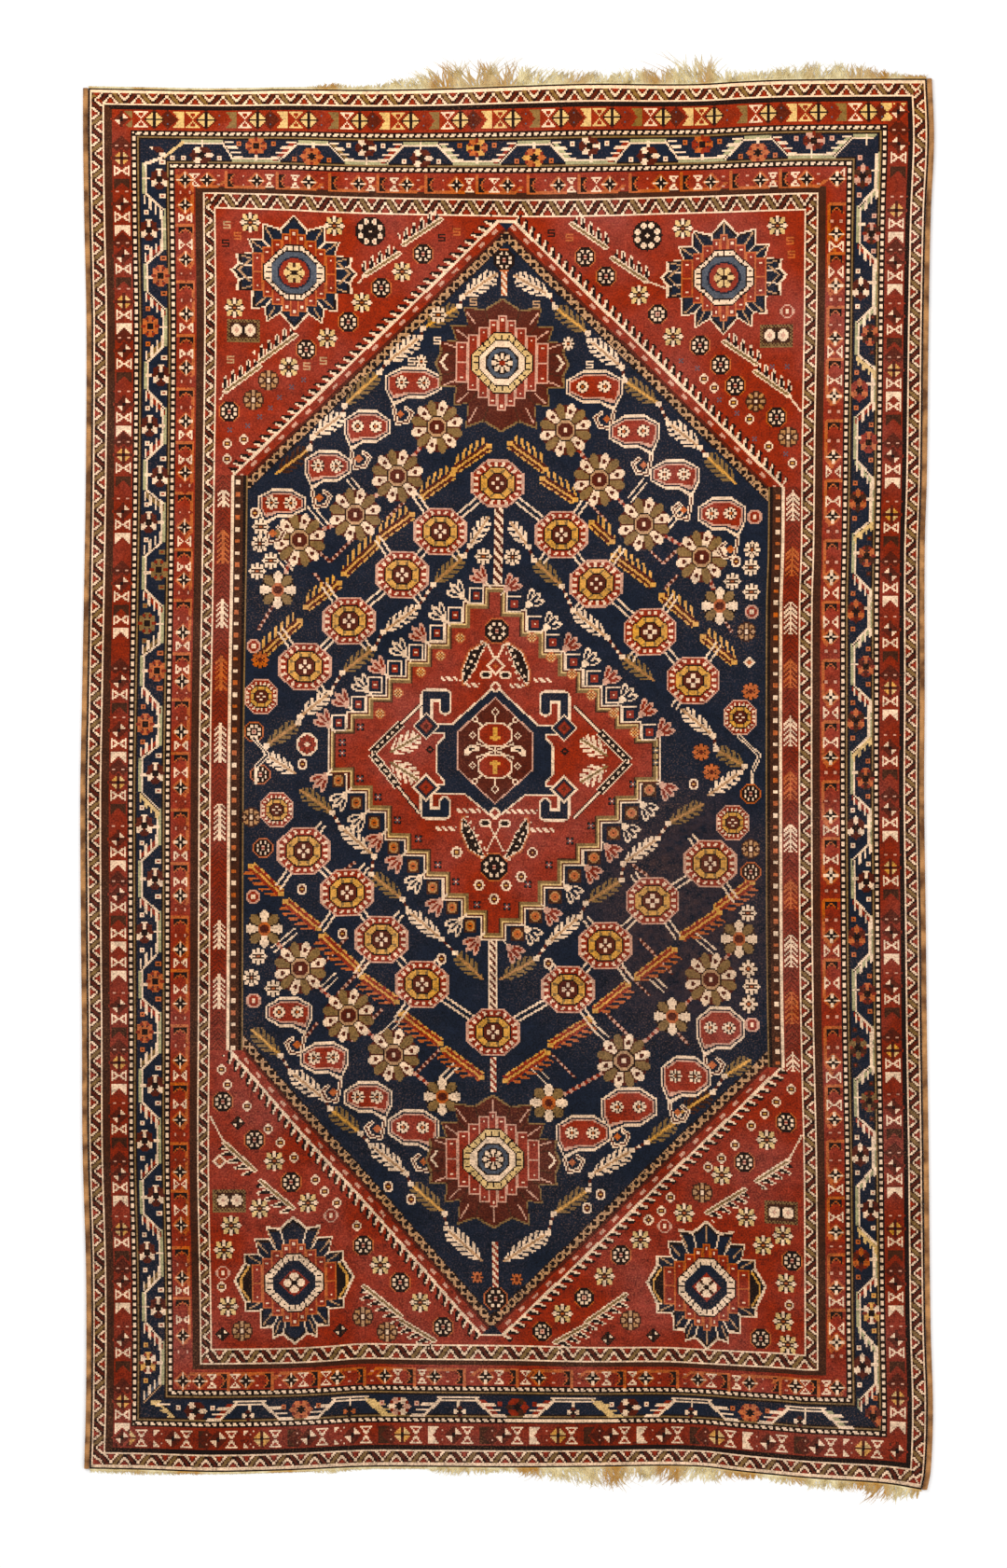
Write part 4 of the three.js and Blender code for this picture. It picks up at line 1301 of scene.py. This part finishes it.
# %% Corner fillings
CORNERS = [  # kind, half-width, places
    ("I", 6.5, [
        (-173, 364), (-117, 364), (-72, 335), (-99, 314), (-122, 290), (-147.5, 270), (-184, 308),
        (115, 363), (178, 363), (86, 320), (109, 292), (-153, -250), (-131, -278), (-163, -281),
        (-182, -292), (-187, -308), (-84, -321), (-185, -345), (-58, -345), (172, -234),
        (142, -258), (117, -284), (88, -302), (158, -285), (169, -303), (182, -296), (64, -326),
        (184, -327), (182, -352), (36, -351), (185, -367)]),
    ("K", 6.5, [
        (-58, 347), (-86, 324), (-108, 301), (-136, 282), (-187, 240), (50, 346), (64, 333),
        (98.5, 307), (141, 273), (151, 259), (179, 238), (-187, -211), (-166, -236), (-142, -264),
        (-95, -308), (-71, -332), (-43, -361), (185, -222), (157, -249), (75, -312), (188, -312),
        (50.5, -340), (22.6, -363), (167, -364), (127, 286)]),
    ("B", 6.5, [
        (-161, 261), (-171, 248), (165, 248.5), (187, 225), (-176, -361), (-80, -365), (129, -270),
        (81, -355), (-96, -355)]),
    ("W", 10.0, [(-93, 361), (91.5, 359)]),
    ("S", 4.5, [(185, 307), (-188, -323), (-116, -287), (104, -293)]),
    ("X", 5.0, [(-177, -225), (-189, -363), (-111, -363), (66, -367), (96, -365)]),
    ("D", 5.0, [(-189, -250)]),
    ("R", 3.2, [
        (-177, 222), (-188, 219), (-188, 209), (130, 264), (137, 258), (150, 248), (161, 237),
        (174, 219), (190, 208), (-188, -190), (-184, -200), (-171, -214), (-157, -229),
        (-149, -238), (-140, -248), (-126, -263), (-120, -271), (-112, -279), (-99, -295),
        (-189, -332), (189, -200), (179, -209), (171, -217), (162, -225), (151, -238), (142, -247),
        (133, -253), (108, -274), (102, -283), (93.5, -289), (186, -341)])]
CROSSES = [
    (-137, 262), (-145, 257), (-153, 250), (-159, 243), (-166, 237), (-174, 231), (-186, 228),
    (115, 276), (126, 271), (141, 250), (153, 241), (165, 224), (186, 214), (176, 271),
    (186, 271)]
HOOKS = [
    ("t", -188, 362), ("o", -181, 355), ("k", -189, 350), ("k", -45, 358), ("o", -35, 362),
    ("t", -124, 275), ("t", -135, 271), ("t", -186, 274), ("k", 28, 362), ("o", 40, 359),
    ("o", 187, 353), ("o", 188, 344)]
for kind, r, places in CORNERS:
    for a, d in places:
        small_flower(a, d, kind, r)
for a, d in CROSSES:
    field.stamp(["s.s", ".s.", "s.s"], a, d)
for wool, a, d in HOOKS:
    hook_s(a, d, wool)
for a, d in ((-178, 293.5), (178, 291.5), (-182.5, -275.5), (181, -281)):      # striped beds
    corners = (a - 11, d - 7.5), (a + 11, d + 7.5)
    field.fill(*corners, "v")
    field.fill(*corners, "b", lambda A, D: (
        (abs(A - a) < 11) & (abs(D - d) < 7.5)
        & (((A + D) % 2.4 < 1.0) | (abs(A - a) < 9) & (abs(D - d) < 5.5))))
    for x in (-4.4, 4.4):
        field.nest(a + x, d, (3.7, "i", "disc"), (1.6, "p", "diamond"))
    field.spot(a, d, 0.8, "k", "box", 3.0)
LEAFY = [  # the two ends of each leaf, and the end of its stalk if it has one
    ((-46, 370), (-71, 353)), ((-74, 347), (-97, 332), (-101, 327)), ((-143, 291), (-167, 273)),
    ((-167, 270), (-190, 253), (-193, 248)), ((41, 368), (64, 352)),
    ((68, 345), (91, 329), (104, 324)), ((143, 288), (165, 273)),
    ((164, 268), (187, 252), (195, 242)), ((-186, -238), (-166, -256), (-195, -221)),
    ((-162, -263), (-141, -281)), ((-95, -335), (-71, -354)), ((-71, -357), (-49, -370)),
    ((186, -247), (165, -261), (195, -230)), ((157, -267), (132, -283)), ((78, -338), (52, -356)),
    ((52, -358), (31, -370))]
BITE = 6.4      # knots from one tooth of a leafy spray to the next
for start, finish, *stalk in LEAFY:
    across, up = finish[0] - start[0], finish[1] - start[1]
    hand = np.sign((finish[1] + start[1]) * across - (finish[0] + start[0]) * up)  # the outer side
    for wool, reach, shift, wide in (("i", 8.0, 0.0, 6.2), ("k", 7.0, 0.9, 4.6)):
        field.path([start, finish], wool, reach=reach, rule=lambda s, q: (
            (q * hand > 0) & ((s + 0.5 * q * hand - shift) % BITE < wide - 0.5 * q * hand)))
    field.path([start, finish], "i", reach=1.7)
    field.path([start, finish], "v", reach=0.8)
    for a, d in stalk:
        near_end = min((start, finish), key=lambda place: abs(place[0] - a) + abs(place[1] - d))
        field.path([near_end, (a, d)], "i", 1.4)
print("in the corners:", sum(len(places) for _, _, places in CORNERS) + len(CROSSES) + len(HOOKS))
# %% [markdown]
# ## The pile
#
# The pile is one cloth, but it is built as twelve closed pieces that meet without a gap, three
# across and four along, so that each stays light and its finish is exported sharply. A face
# covers two by two knots. It carries their four numbers in one value, the first plus 16 times the
# second and so on, and a small map called knots tells the material where on the face it is.
# The top follows the tread of the solid pile, and the back shows the same design, as it does on
# every hand-knotted rug.

# %% Pile surface
def wave(distance, length):
    """A sine of the distance, from -1 to +1, that repeats after each length."""
    return np.sin(2 * np.pi * distance / length)


def pile_height(x, y):
    """Full height less up to 0.6 mm, where two crossed waves and a slanted one dip. Millimetres."""
    waves = wave(x, 1070) * wave(y, 1450) + wave(x - y, 1950)
    return PILE_HEIGHT - TREAD * (waves + 2) / 4


def mesh_piece(name, points, faces, smooth=False):
    """An object at the origin from points in metres and faces of four corners."""
    mesh = bpy.data.meshes.new(name)
    mesh.vertices.add(len(points))
    mesh.vertices.foreach_set("co", np.ascontiguousarray(points, np.float32).ravel())
    mesh.loops.add(faces.size)
    mesh.loops.foreach_set("vertex_index", faces.astype(np.int32).ravel())
    mesh.polygons.add(len(faces))
    mesh.polygons.foreach_set("loop_start", np.arange(0, faces.size, 4, dtype=np.int32))
    mesh.polygons.foreach_set("use_smooth", np.full(len(faces), smooth))
    mesh.update(calc_edges=True)
    mesh.validate()
    piece = bpy.data.objects.new(name, mesh)
    bpy.context.collection.objects.link(piece)
    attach(piece, "root")
    return piece


def corner_map(piece, name, values):
    """A UV map with one pair of values for each corner of each face."""
    layer = piece.data.uv_layers.new(name=name)
    layer.data.foreach_set("uv", np.ascontiguousarray(values, np.float32).ravel())


codes = sum(chart[j::2, i::2].astype(np.float64) * 16 ** (2 * j + i)
            for j in (0, 1) for i in (0, 1))
print("faces of four knots:", codes.shape, "largest code:", codes.max())


# %% Twelve closed pieces of pile
def grid_faces(columns, rows):
    """Corners of each square of a grid, anticlockwise from above."""
    first = (np.arange(rows - 1)[:, None] * columns + np.arange(columns - 1)[None, :]).ravel()
    return np.stack([first, first + 1, first + columns + 1, first + columns], 1)


def pile_piece(name, i0, i1, j0, j1):
    """Top grid, the same grid on the floor facing down, and a wall round the edge. i and j count
    faces of the chart. The outermost row of points is on the low rim of the pile."""
    u, v = np.meshgrid(np.arange(i0, i1 + 1) * 2.0, np.arange(j0, j1 + 1) * 2.0)
    x, y = knot_place(u, v)
    rim = (u == 0) | (u == COLUMNS) | (v == 0) | (v == ROWS)
    z = np.where(rim, RIM_HEIGHT, pile_height(x, y))
    top = np.stack([x, y, z], -1).reshape(-1, 3)
    floor = top * (1, 1, 0)
    rows, columns = u.shape
    faces = grid_faces(columns, rows)
    count = rows * columns
    index = np.arange(count).reshape(rows, columns)
    edge = np.concatenate([index[0, :-1], index[:-1, -1], index[-1, :0:-1], index[:0:-1, 0]])
    after = np.roll(edge, -1)
    wall = np.stack([edge + count, after + count, after, edge], 1)
    piece = mesh_piece(name, np.concatenate([top, floor]) / 1000,
                       np.concatenate([faces, faces[:, ::-1] + count, wall]))
    # the wall's faces take the numbers of the faces they stand beside
    code = codes[j0:j1, i0:i1].ravel()
    beside = np.concatenate([codes[j0, i0:i1], codes[j0:j1, i1 - 1],
                             codes[j1 - 1, i0:i1][::-1], codes[j0:j1, i0][::-1]])
    value = piece.data.attributes.new("four_knots", "FLOAT", "FACE")
    value.data.foreach_set("value", np.concatenate([code, code, beside]).astype(np.float32))
    square = np.array([(0, 0), (1, 0), (1, 1), (0, 1)], float)
    corner_map(piece, "knots", np.concatenate([np.tile(square, (len(faces), 1)),
                                               np.tile(square[::-1], (len(faces), 1)),
                                               np.tile(square, (len(wall), 1))]))
    share = np.stack([(u - u.min()) / np.ptp(u), (v - v.min()) / np.ptp(v)], -1).reshape(-1, 2)
    run = np.linspace(0, 1, len(edge) + 1)
    strip = np.stack([np.stack([run[:-1], run[1:], run[1:], run[:-1]], 1),
                      np.tile([0.0, 0, 1, 1], (len(edge), 1))], -1)
    # one map for the finish: the top on the left, the back beside it, the wall as a strip above
    corner_map(piece, "OFBake", np.concatenate([
        (share[faces] * (0.70, 0.97) + (0.004, 0.004)).reshape(-1, 2),
        (share[faces[:, ::-1]] * (0.28, 0.97) + (0.712, 0.004)).reshape(-1, 2),
        (strip * (0.99, 0.016) + (0.004, 0.980)).reshape(-1, 2)]))
    return piece


ACROSS, ALONG = (0, 92, 184, 276), (0, 113, 226, 339, 452)     # where the pieces meet, in faces
pile_pieces = [pile_piece(f"pile_{r + 1}_{c + 1}", *ACROSS[c:c + 2], *ALONG[r:r + 2])
               for r in range(4) for c in range(3)]
print("pile faces:", sum(len(piece.data.polygons) for piece in pile_pieces))
# %% [markdown]
# ## Writing shader maths
#
# Materials are built from nodes. Long chains of them are hard to read, so one small class wraps a
# socket and lets Python's own operators add the Math nodes.

# %% A socket that can be reckoned with
class Reading:
    """A socket's value. The operators add Math nodes to its material."""

    def __init__(self, tree, socket):
        self.tree, self.socket = tree, socket

    def _math(self, operation, *values):
        return node(self.tree, "Math", {"operation": operation}, values)

    def __add__(self, other): return self._math("ADD", self, other)
    def __sub__(self, other): return self._math("SUBTRACT", self, other)
    def __mul__(self, other): return self._math("MULTIPLY", self, other)
    def __truediv__(self, other): return self._math("DIVIDE", self, other)
    def __pow__(self, other): return self._math("POWER", self, other)
    def __gt__(self, other): return self._math("GREATER_THAN", self, other)
    def __lt__(self, other): return self._math("LESS_THAN", self, other)
    def __rsub__(self, other): return self._math("SUBTRACT", other, self)
    def __rtruediv__(self, other): return self._math("DIVIDE", other, self)
    __radd__, __rmul__ = __add__, __mul__

    def floor(self): return self._math("FLOOR", self)
    def sine(self): return self._math("SINE", self)
    def size(self): return self._math("ABSOLUTE", self)

    def clamp(self, low, high, out_low=0.0, out_high=1.0):
        """Moves low..high onto out_low..out_high and stops at both ends."""
        return node(self.tree, "MapRange", {"clamp": True},
                    (self, low, high, out_low, out_high))


def node(tree, kind, settings=None, values=(), output=0):
    """Adds one node: its settings first, then the values or links of its sockets, by number or
    name. Gives back its output as a Reading."""
    made = tree.nodes.new("ShaderNode" + kind)
    for key, value in (settings or {}).items():
        if key == "stops":
            ramp = made.color_ramp
            while len(ramp.elements) < len(value):
                ramp.elements.new(1.0)
            for element, (position, colour) in zip(ramp.elements, value):
                element.position, element.color = position, colour
        elif key == "interpolation" and hasattr(made, "color_ramp"):
            made.color_ramp.interpolation = value
        else:
            setattr(made, key, value)
    for key, value in values.items() if isinstance(values, dict) else enumerate(values):
        if isinstance(value, Reading):
            tree.links.new(value.socket, made.inputs[key])
        else:
            made.inputs[key].default_value = value
    return Reading(tree, made.outputs[output])


def mix(tree, factor, first, second):
    """A Mix node on colours. Its colour sockets are numbers 6 and 7, and its result is number 2."""
    return node(tree, "Mix", {"data_type": "RGBA"}, {0: factor, 6: first, 7: second}, 2)


def noise(tree, place, scale, detail):
    """A cloudy value of about 0.3 to 0.7. A larger scale makes smaller clouds."""
    return node(tree, "TexNoise",
                values={"Vector": place, "Scale": scale, "Detail": detail})


def stretched(tree, place, scales):
    """The place with each of its axes scaled."""
    return node(tree, "VectorMath", {"operation": "MULTIPLY"}, (place, scales))


def linear(rgb):
    """An sRGB colour of 0..255 as the linear colour that the shader expects."""
    c = np.array(rgb) / 255
    return (*np.where(c <= 0.04045, c / 12.92, ((c + 0.055) / 1.055) ** 2.4).tolist(), 1.0)


def new_material(name, roughness=0.9):
    made = bpy.data.materials.new(name)
    made.use_nodes = True
    tree = made.node_tree
    shader = tree.nodes["Principled BSDF"]
    shader.inputs["Roughness"].default_value = roughness
    shader.inputs["Specular IOR Level"].default_value = 0.15
    return made, tree


def finish_wool(material, colour, height, strength, distance, pieces):
    """Joins a colour and a bump of some height to the shader, and gives the wool to its pieces."""
    tree = material.node_tree
    shader = tree.nodes["Principled BSDF"]
    bump = node(tree, "Bump",
                values={"Strength": strength, "Distance": distance, "Height": height})
    tree.links.new(colour.socket, shader.inputs["Base Color"])
    tree.links.new(bump.socket, shader.inputs["Normal"])
    for piece in pieces:
        piece.data.materials.append(material)


print("ivory in linear light:", [round(c, 3) for c in linear(WOOLS[0][2])])

# %% [markdown]
# ## Wool pile
#
# A knot's colour comes from its number through a ramp of sixteen steps. On top of that the dye
# varies as it does in hand-dyed wool: a little from knot to knot, and in level streaks where a new
# batch was begun. Traffic has worn some places down to the pale base of the knots. The bump is one
# soft lump for each knot and a furrow between rows.

# %% Pile material
pile_wool, tree = new_material("worn_knotted_wool")
place = node(tree, "TexCoord", output=3)
code = node(tree, "Attribute", {"attribute_name": "four_knots"}, output=2)
cell = node(tree, "UVMap", {"uv_map": "knots"})
cell_x = node(tree, "SeparateXYZ", values=(cell,))
cell_y = Reading(tree, cell_x.socket.node.outputs[1])
upper_row = (code / 256.0).floor()
lower_row = code - upper_row * 256.0
pair_of_knots = lower_row + (upper_row - lower_row) * (cell_y > 0.5)
second = (pair_of_knots / 16.0).floor()
number = second * (cell_x > 0.5) + (pair_of_knots - second * 16.0) * (cell_x < 0.5001)
stops = [(n / 16, linear(rgb)) for n, (_, _, rgb) in enumerate(WOOLS)]
dyed = node(tree, "ValToRGB", {"stops": stops, "interpolation": "CONSTANT"},
            ((number + 0.5) / 16.0,))
streaks = noise(tree, stretched(tree, place, (1.6, 34.0, 0.0)), 1.0, 4.0)
patches = noise(tree, place, 5.5, 4.0)
specks = noise(tree, place, 330.0, 1.0)
clumps = noise(tree, place, 95.0, 2.0)
here = node(tree, "SeparateXYZ", values=(place,))
upward = Reading(tree, here.socket.node.outputs[1])
# lighter towards the upper end and darker towards the lower end
ends = upward.clamp(0.2, 1.1, 0.0, 0.16) - upward.clamp(0.1, -0.6, 0.0, 0.13)
light = (0.86 + ends + (streaks - 0.5) * 0.56 + (patches - 0.5) * 0.30
         + (specks - 0.5) * 1.5 + (clumps - 0.5) * 0.9)
paler_upper_end = upward.clamp(1.12, 1.22)                     # the upper end is paler and a little more saturated
varied = node(tree, "HueSaturation",
              values={"Saturation": 1.02 - (patches - 0.5) * 0.4 + paler_upper_end * 0.08,
                      "Value": light + paler_upper_end * 0.14, "Color": dyed})
worn = specks.clamp(0.54, 0.74) * patches.clamp(0.40, 0.68) * 0.22
worn_colour = mix(tree, worn, varied, linear((176, 122, 78)))
patch_x, patch_y = (here - 0.32) / 0.20, (upward + 0.24) / 0.26
browned = 1.0 - (patch_x * patch_x + patch_y * patch_y)      # a stain in the lower right
browned = browned.clamp(0.0, 0.8) * clumps.clamp(0.3, 0.7) * 0.34
aged = mix(tree, browned, worn_colour, linear((84, 52, 36)))
lump_x = ((cell_x * (4 * np.pi) - np.pi / 2).sine() + 1.0) * 0.5
lump_y = ((cell_y * (4 * np.pi) - np.pi / 2).sine() + 1.0) * 0.5
height = lump_x * 0.3 + lump_y * 0.45 + specks * 0.5 + clumps * 0.4
finish_wool(pile_wool, aged, height, 0.5, 0.0012, pile_pieces)
print("nodes in the pile's wool:", len(tree.nodes))
# %% [markdown]
# ## The side cords
#
# Each side is overcast: camel wool is wound round the outermost warps, so the edge wears the
# wrapping and not the knots. It is an upright oval carried along the side, with a ripple for each
# turn of the yarn. The yarn's shade drifts, as it was spun and dyed in small batches.

# %% Side cords
TURN = 2.9                  # millimetres of side for one turn of yarn
SIDE = {  # side: column of its outer face in the table, way inwards, column of the chart
    "left": (1, 1, 0.0), "right": (2, -1, float(COLUMNS)),
}
SECTION = 10                # points round a cord
CAP = np.array([(0, 1, 2, 3), (0, 3, 4, 5), (0, 5, 6, 9), (6, 7, 8, 9)])    # faces of its end


def sweep(index):
    """Faces from each ring of points to the next. The last axis of index runs round a ring, and
    the one before it runs from ring to ring."""
    after = np.roll(index, -1, axis=-1)
    return np.stack([index[..., :-1, :], index[..., 1:, :], after[..., 1:, :],
                     after[..., :-1, :]], -1).reshape(-1, 4)


def cord_piece(name, side, part, parts):
    """An oval section of ten points carried along the side. Its half-width swells by a rounded
    ripple, one for each turn of yarn, and its underside is flattened onto the floor."""
    outer, inward, edge_column = SIDE[side]
    first, last = (float(knot_place(edge_column, row)[1]) for row in (0.0, float(ROWS)))
    ends = np.linspace(first, last, parts + 1)[part:part + 2]
    steps = int((ends[1] - ends[0]) / TURN * 3)
    y = np.linspace(*ends, steps + 1)
    ripple = 1 - 0.10 * np.abs(np.cos(np.pi * (y - first) / TURN)) ** 3
    middle = read_table(SIDES, y, outer) + inward * CORD_WIDTH / 2
    angle = np.arange(SECTION) / SECTION * 2 * np.pi - np.pi / 2
    across = np.cos(angle)[None] * CORD_WIDTH / 2 * ripple[:, None]
    up = CORD_HEIGHT / 2 * (1 + np.sin(angle)[None] * ripple[:, None])
    up = np.where(np.sin(angle)[None] < -0.9, 0.0, up)
    points = np.stack([middle[:, None] + across, np.broadcast_to(y[:, None], across.shape), up], -1)
    faces = np.concatenate([sweep(np.arange(across.size).reshape(across.shape)),
                            CAP, CAP[:, ::-1] + steps * SECTION])
    piece = mesh_piece(name, points.reshape(-1, 3) / 1000, faces, smooth=True)
    layer = piece.data.attributes.new("along", "FLOAT", "POINT")
    turns = np.repeat((y - first) / TURN, SECTION)
    layer.data.foreach_set("value", turns.astype(np.float32))
    return piece


cords = {side: [cord_piece(f"side_cord_{side}_{n + 1}", side, n, 4) for n in range(4)]
         for side in SIDE}
cord_pieces = sum(cords.values(), [])
print("cord faces:", sum(len(piece.data.polygons) for piece in cord_pieces))

# %% Wrapped yarn material
wrapped, tree = new_material("wrapped_cord_wool")
turn = node(tree, "Attribute", {"attribute_name": "along"}, output=2)
place = node(tree, "TexCoord", output=3)
fibre = noise(tree, place, 420.0, 2.0)
batch = noise(tree, place, 34.0, 6.0)
groove = (turn * np.pi).sine().size() ** 0.5
base = mix(tree, batch.clamp(0.36, 0.64), linear((104, 66, 38)), linear((196, 140, 86)))
# painted shade: darker in the gaps between turns of yarn, plus the fibres' own random tone
shade = 0.36 + groove * 0.34 + fibre * 0.52
coloured = node(tree, "HueSaturation", values={"Value": shade, "Color": base})
finish_wool(wrapped, coloured, groove * 0.6 + fibre * 0.4, 0.6, 0.0008, cord_pieces)
print("nodes in the cords' wool:", len(tree.nodes))

# %% [markdown]
# ## The fringes
#
# The warps leave the pile in a few rows of plain weave and end in short, frayed yarns. Most have
# worn off close to the edge, some reach five centimetres. A dense mat of fluffy ends lies lowest,
# and finer, longer wisps lie on it, drawn together in small bunches.

# %% Fringe yarns and their woven strips
YARNS = [  # pitch, width, height, least and most share of the reach, lean, curl, how high it floats
    (1.7, 2.3, 1.3, 0.60, 1.15, 0.18, 0.30, 0.8),
    (2.4, 1.25, 1.0, 0.85, 1.35, 0.22, 0.50, 2.2),
]
YARN_STEPS, BUNCH, ROOT = 6, 11.0, 2.0      # steps along a yarn; a bunch and a root in millimetres
KNOT_WIDTH = 2.74                           # millimetres, to count the yarns of a piece
STRIP_WIDTH, STRIP_HEIGHT, STRIP_PLACES = 4.0, 2.4, 70
END = {  # end: way outwards, row of the chart, column of its reach in the table, first seed
    "top": (1, float(ROWS), 1, 0), "bottom": (-1, 0.0, 2, 10),
}


def fringe_piece(end, part, parts):
    """Yarns rooted a little inside the woven strip. A yarn's middle line runs outwards by its
    reach and aside by lean, by a curl that grows with the square of the way, and towards the
    middle of its bunch. Its four-sided section narrows to the tip and sinks onto the floor. The
    strip is a low closed bar."""
    outwards, edge_row, reach_column, seed = END[end]
    chance = np.random.default_rng(seed + part)
    cut = np.linspace(0, COLUMNS, parts + 1)[part:part + 2]
    counts = [int((cut[1] - cut[0]) * KNOT_WIDTH / layer[0]) for layer in YARNS]
    _, broad, thick, least, most, lean, curl, lift = np.repeat(np.array(YARNS), counts, axis=0).T
    count = sum(counts)
    share = np.concatenate([(np.arange(n) + 0.5 + chance.uniform(-0.4, 0.4, n)) / n
                            for n in counts])
    at = np.clip(cut[0] + share * (cut[1] - cut[0]), 1.2, COLUMNS - 1.2)
    x, y = knot_place(at, np.full(count, edge_row))
    reach = read_table(FRINGE_REACH, x, reach_column)
    length = np.maximum(reach * chance.uniform(least, most), 4.5)
    lean = 0.50 * wave(x, 410) + 0.42 * wave(x, 57) + chance.normal(0, 1, count) * lean
    curl = chance.normal(0, 1, count) * curl
    gather = (np.floor(x / BUNCH) + 0.5) * BUNCH - x
    t = np.linspace(0, 1, YARN_STEPS + 1)[None]
    out = -ROOT + (length[:, None] + ROOT) * t
    side = (length[:, None] * (lean[:, None] * t + curl[:, None] * t**2
                               + 0.04 * np.sin(7 * t + x[:, None]))
            + gather[:, None] * 0.55 * t**1.5 * np.clip(length[:, None] / 20, 0, 1))
    taper = np.interp(t, (0, 0.4, 0.75, 1), (0.8, 1, 0.75, 0.25))
    shape = np.array([(-1, 0.35), (0, 0), (1, 0.35), (0, 1)])
    px = x[:, None, None] + side[..., None] + (broad[:, None] * taper / 2)[..., None] * shape[:, 0]
    py = np.broadcast_to((y[:, None] + outwards * out)[..., None], px.shape)
    pz = (thick[:, None] * taper)[..., None] * shape[:, 1]
    pz = pz + (lift * chance.uniform(0.1, 1.0, count))[:, None, None] * (1 - t**2)[..., None]
    points = np.stack([px, py, pz], -1)
    index = np.arange(px.size).reshape(px.shape)
    caps = np.stack([index[:, 0, ::-1], index[:, -1]], 1).reshape(-1, 4)
    # the strip: a bar of four sides along the pile's edge
    u = np.linspace(*cut, STRIP_PLACES)
    sx, sy = knot_place(u, np.full(u.shape, edge_row))
    low, high = sy + outwards * GAP, sy + outwards * STRIP_WIDTH
    bar = np.stack([np.stack([sx, low, 0 * sx], -1), np.stack([sx, high, 0 * sx], -1),
                    np.stack([sx, high - outwards, 0 * sx + STRIP_HEIGHT * 0.8], -1),
                    np.stack([sx, low, 0 * sx + STRIP_HEIGHT], -1)], 1)
    rings = np.arange(4 * STRIP_PLACES).reshape(-1, 4) + px.size
    faces = np.concatenate([sweep(index)[:, [0, 3, 2, 1]], caps, sweep(rings),
                            rings[:1], rings[-1:, ::-1]])
    return mesh_piece(f"fringe_{end}_{part + 1}",
                      np.concatenate([points.reshape(-1, 3), bar.reshape(-1, 3)]) / 1000,
                      faces[:, ::-1] if outwards > 0 else faces)


fringes = {end: [fringe_piece(end, n, 3) for n in range(3)] for end in END}
fringe_pieces = sum(fringes.values(), [])
print("fringe faces:", sum(len(piece.data.polygons) for piece in fringe_pieces))

# %% Undyed warp material
warp_wool, tree = new_material("undyed_warp_wool")
place = node(tree, "TexCoord", output=3)
tone = noise(tree, place, 60.0, 3.0)
hair = noise(tree, place, 700.0, 2.0)
shades = [(0.30, (128, 100, 56)), (0.42, (204, 182, 128)), (0.60, (236, 222, 180))]
cream = node(tree, "ValToRGB", {"stops": [(at, linear(rgb)) for at, rgb in shades]},
             (tone * 0.6 + hair * 0.4,))
tanned = noise(tree, stretched(tree, place, (13.0, 3.0, 0.0)), 1.0, 2.0)
tan_share = tanned.clamp(0.49, 0.62) * tone.clamp(0.3, 0.6, 0.4, 1.0)
warm = mix(tree, tan_share, cream, linear((188, 140, 68)))
finish_wool(warp_wool, warm, hair, 0.5, 0.0006, fringe_pieces)
print("nodes in the fringes' wool:", len(tree.nodes))

# %% [markdown]
# ## Floor and light
#
# The photograph is evenly lit, on white. A large pale floor, two broad soft lamps overhead and an
# even white world give that, with only a faint shadow at the rug's edge.

# %% Stage
bpy.context.scene.view_settings.view_transform = "Standard"
FLOOR_HALF, FLOOR_LEVEL = 6, -0.0005        # metres; a hair below the rug
corners = [(x * FLOOR_HALF, y * FLOOR_HALF, FLOOR_LEVEL)
           for x, y in ((-1, -1), (1, -1), (1, 1), (-1, 1))]
floor_mesh = bpy.data.meshes.new("floor")
floor_mesh.from_pydata(corners, [], [(0, 1, 2, 3)])
floor = bpy.data.objects.new("floor", floor_mesh)
bpy.context.collection.objects.link(floor)
pale, tree = new_material("pale_floor", 0.8)
tree.nodes["Principled BSDF"].inputs["Base Color"].default_value = (0.92, 0.92, 0.92, 1)
floor_mesh.materials.append(pale)

world = bpy.data.worlds.new("studio")
bpy.context.scene.world = world
world.use_nodes = True
background = world.node_tree.nodes["Background"].inputs
background["Color"].default_value, background["Strength"].default_value = (1, 1, 1, 1), 0.75
LAMPS = [("lamp_left", (-2.6, 1.8, 3.6), 90), ("lamp_right", (2.6, -1.2, 3.8), 60)]
for name, spot, power in LAMPS:
    lamp = bpy.data.lights.new(name, "AREA")
    lamp.shape, lamp.size, lamp.energy = "SQUARE", 2.6, power
    made = bpy.data.objects.new(name, lamp)
    made.location = spot
    made.rotation_euler = (-Vector(spot)).to_track_quat("-Z", "Y").to_euler()
    bpy.context.collection.objects.link(made)

# %% [markdown]
# ## What stands for which solid
#
# Each dressed piece hides the plain solid that it stands for.

for piece in pile_pieces:
    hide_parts("pile")
    low, high = np.array(piece.bound_box).min(0), np.array(piece.bound_box).max(0)
    float(high[0] - low[0])
    float(high[1] - low[1])
for side, group in cords.items():
    for piece in group:
        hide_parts(f"selvedge_{side}")
for end, group in fringes.items():
    for piece in group:
        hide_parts(f"fringe_{end}")
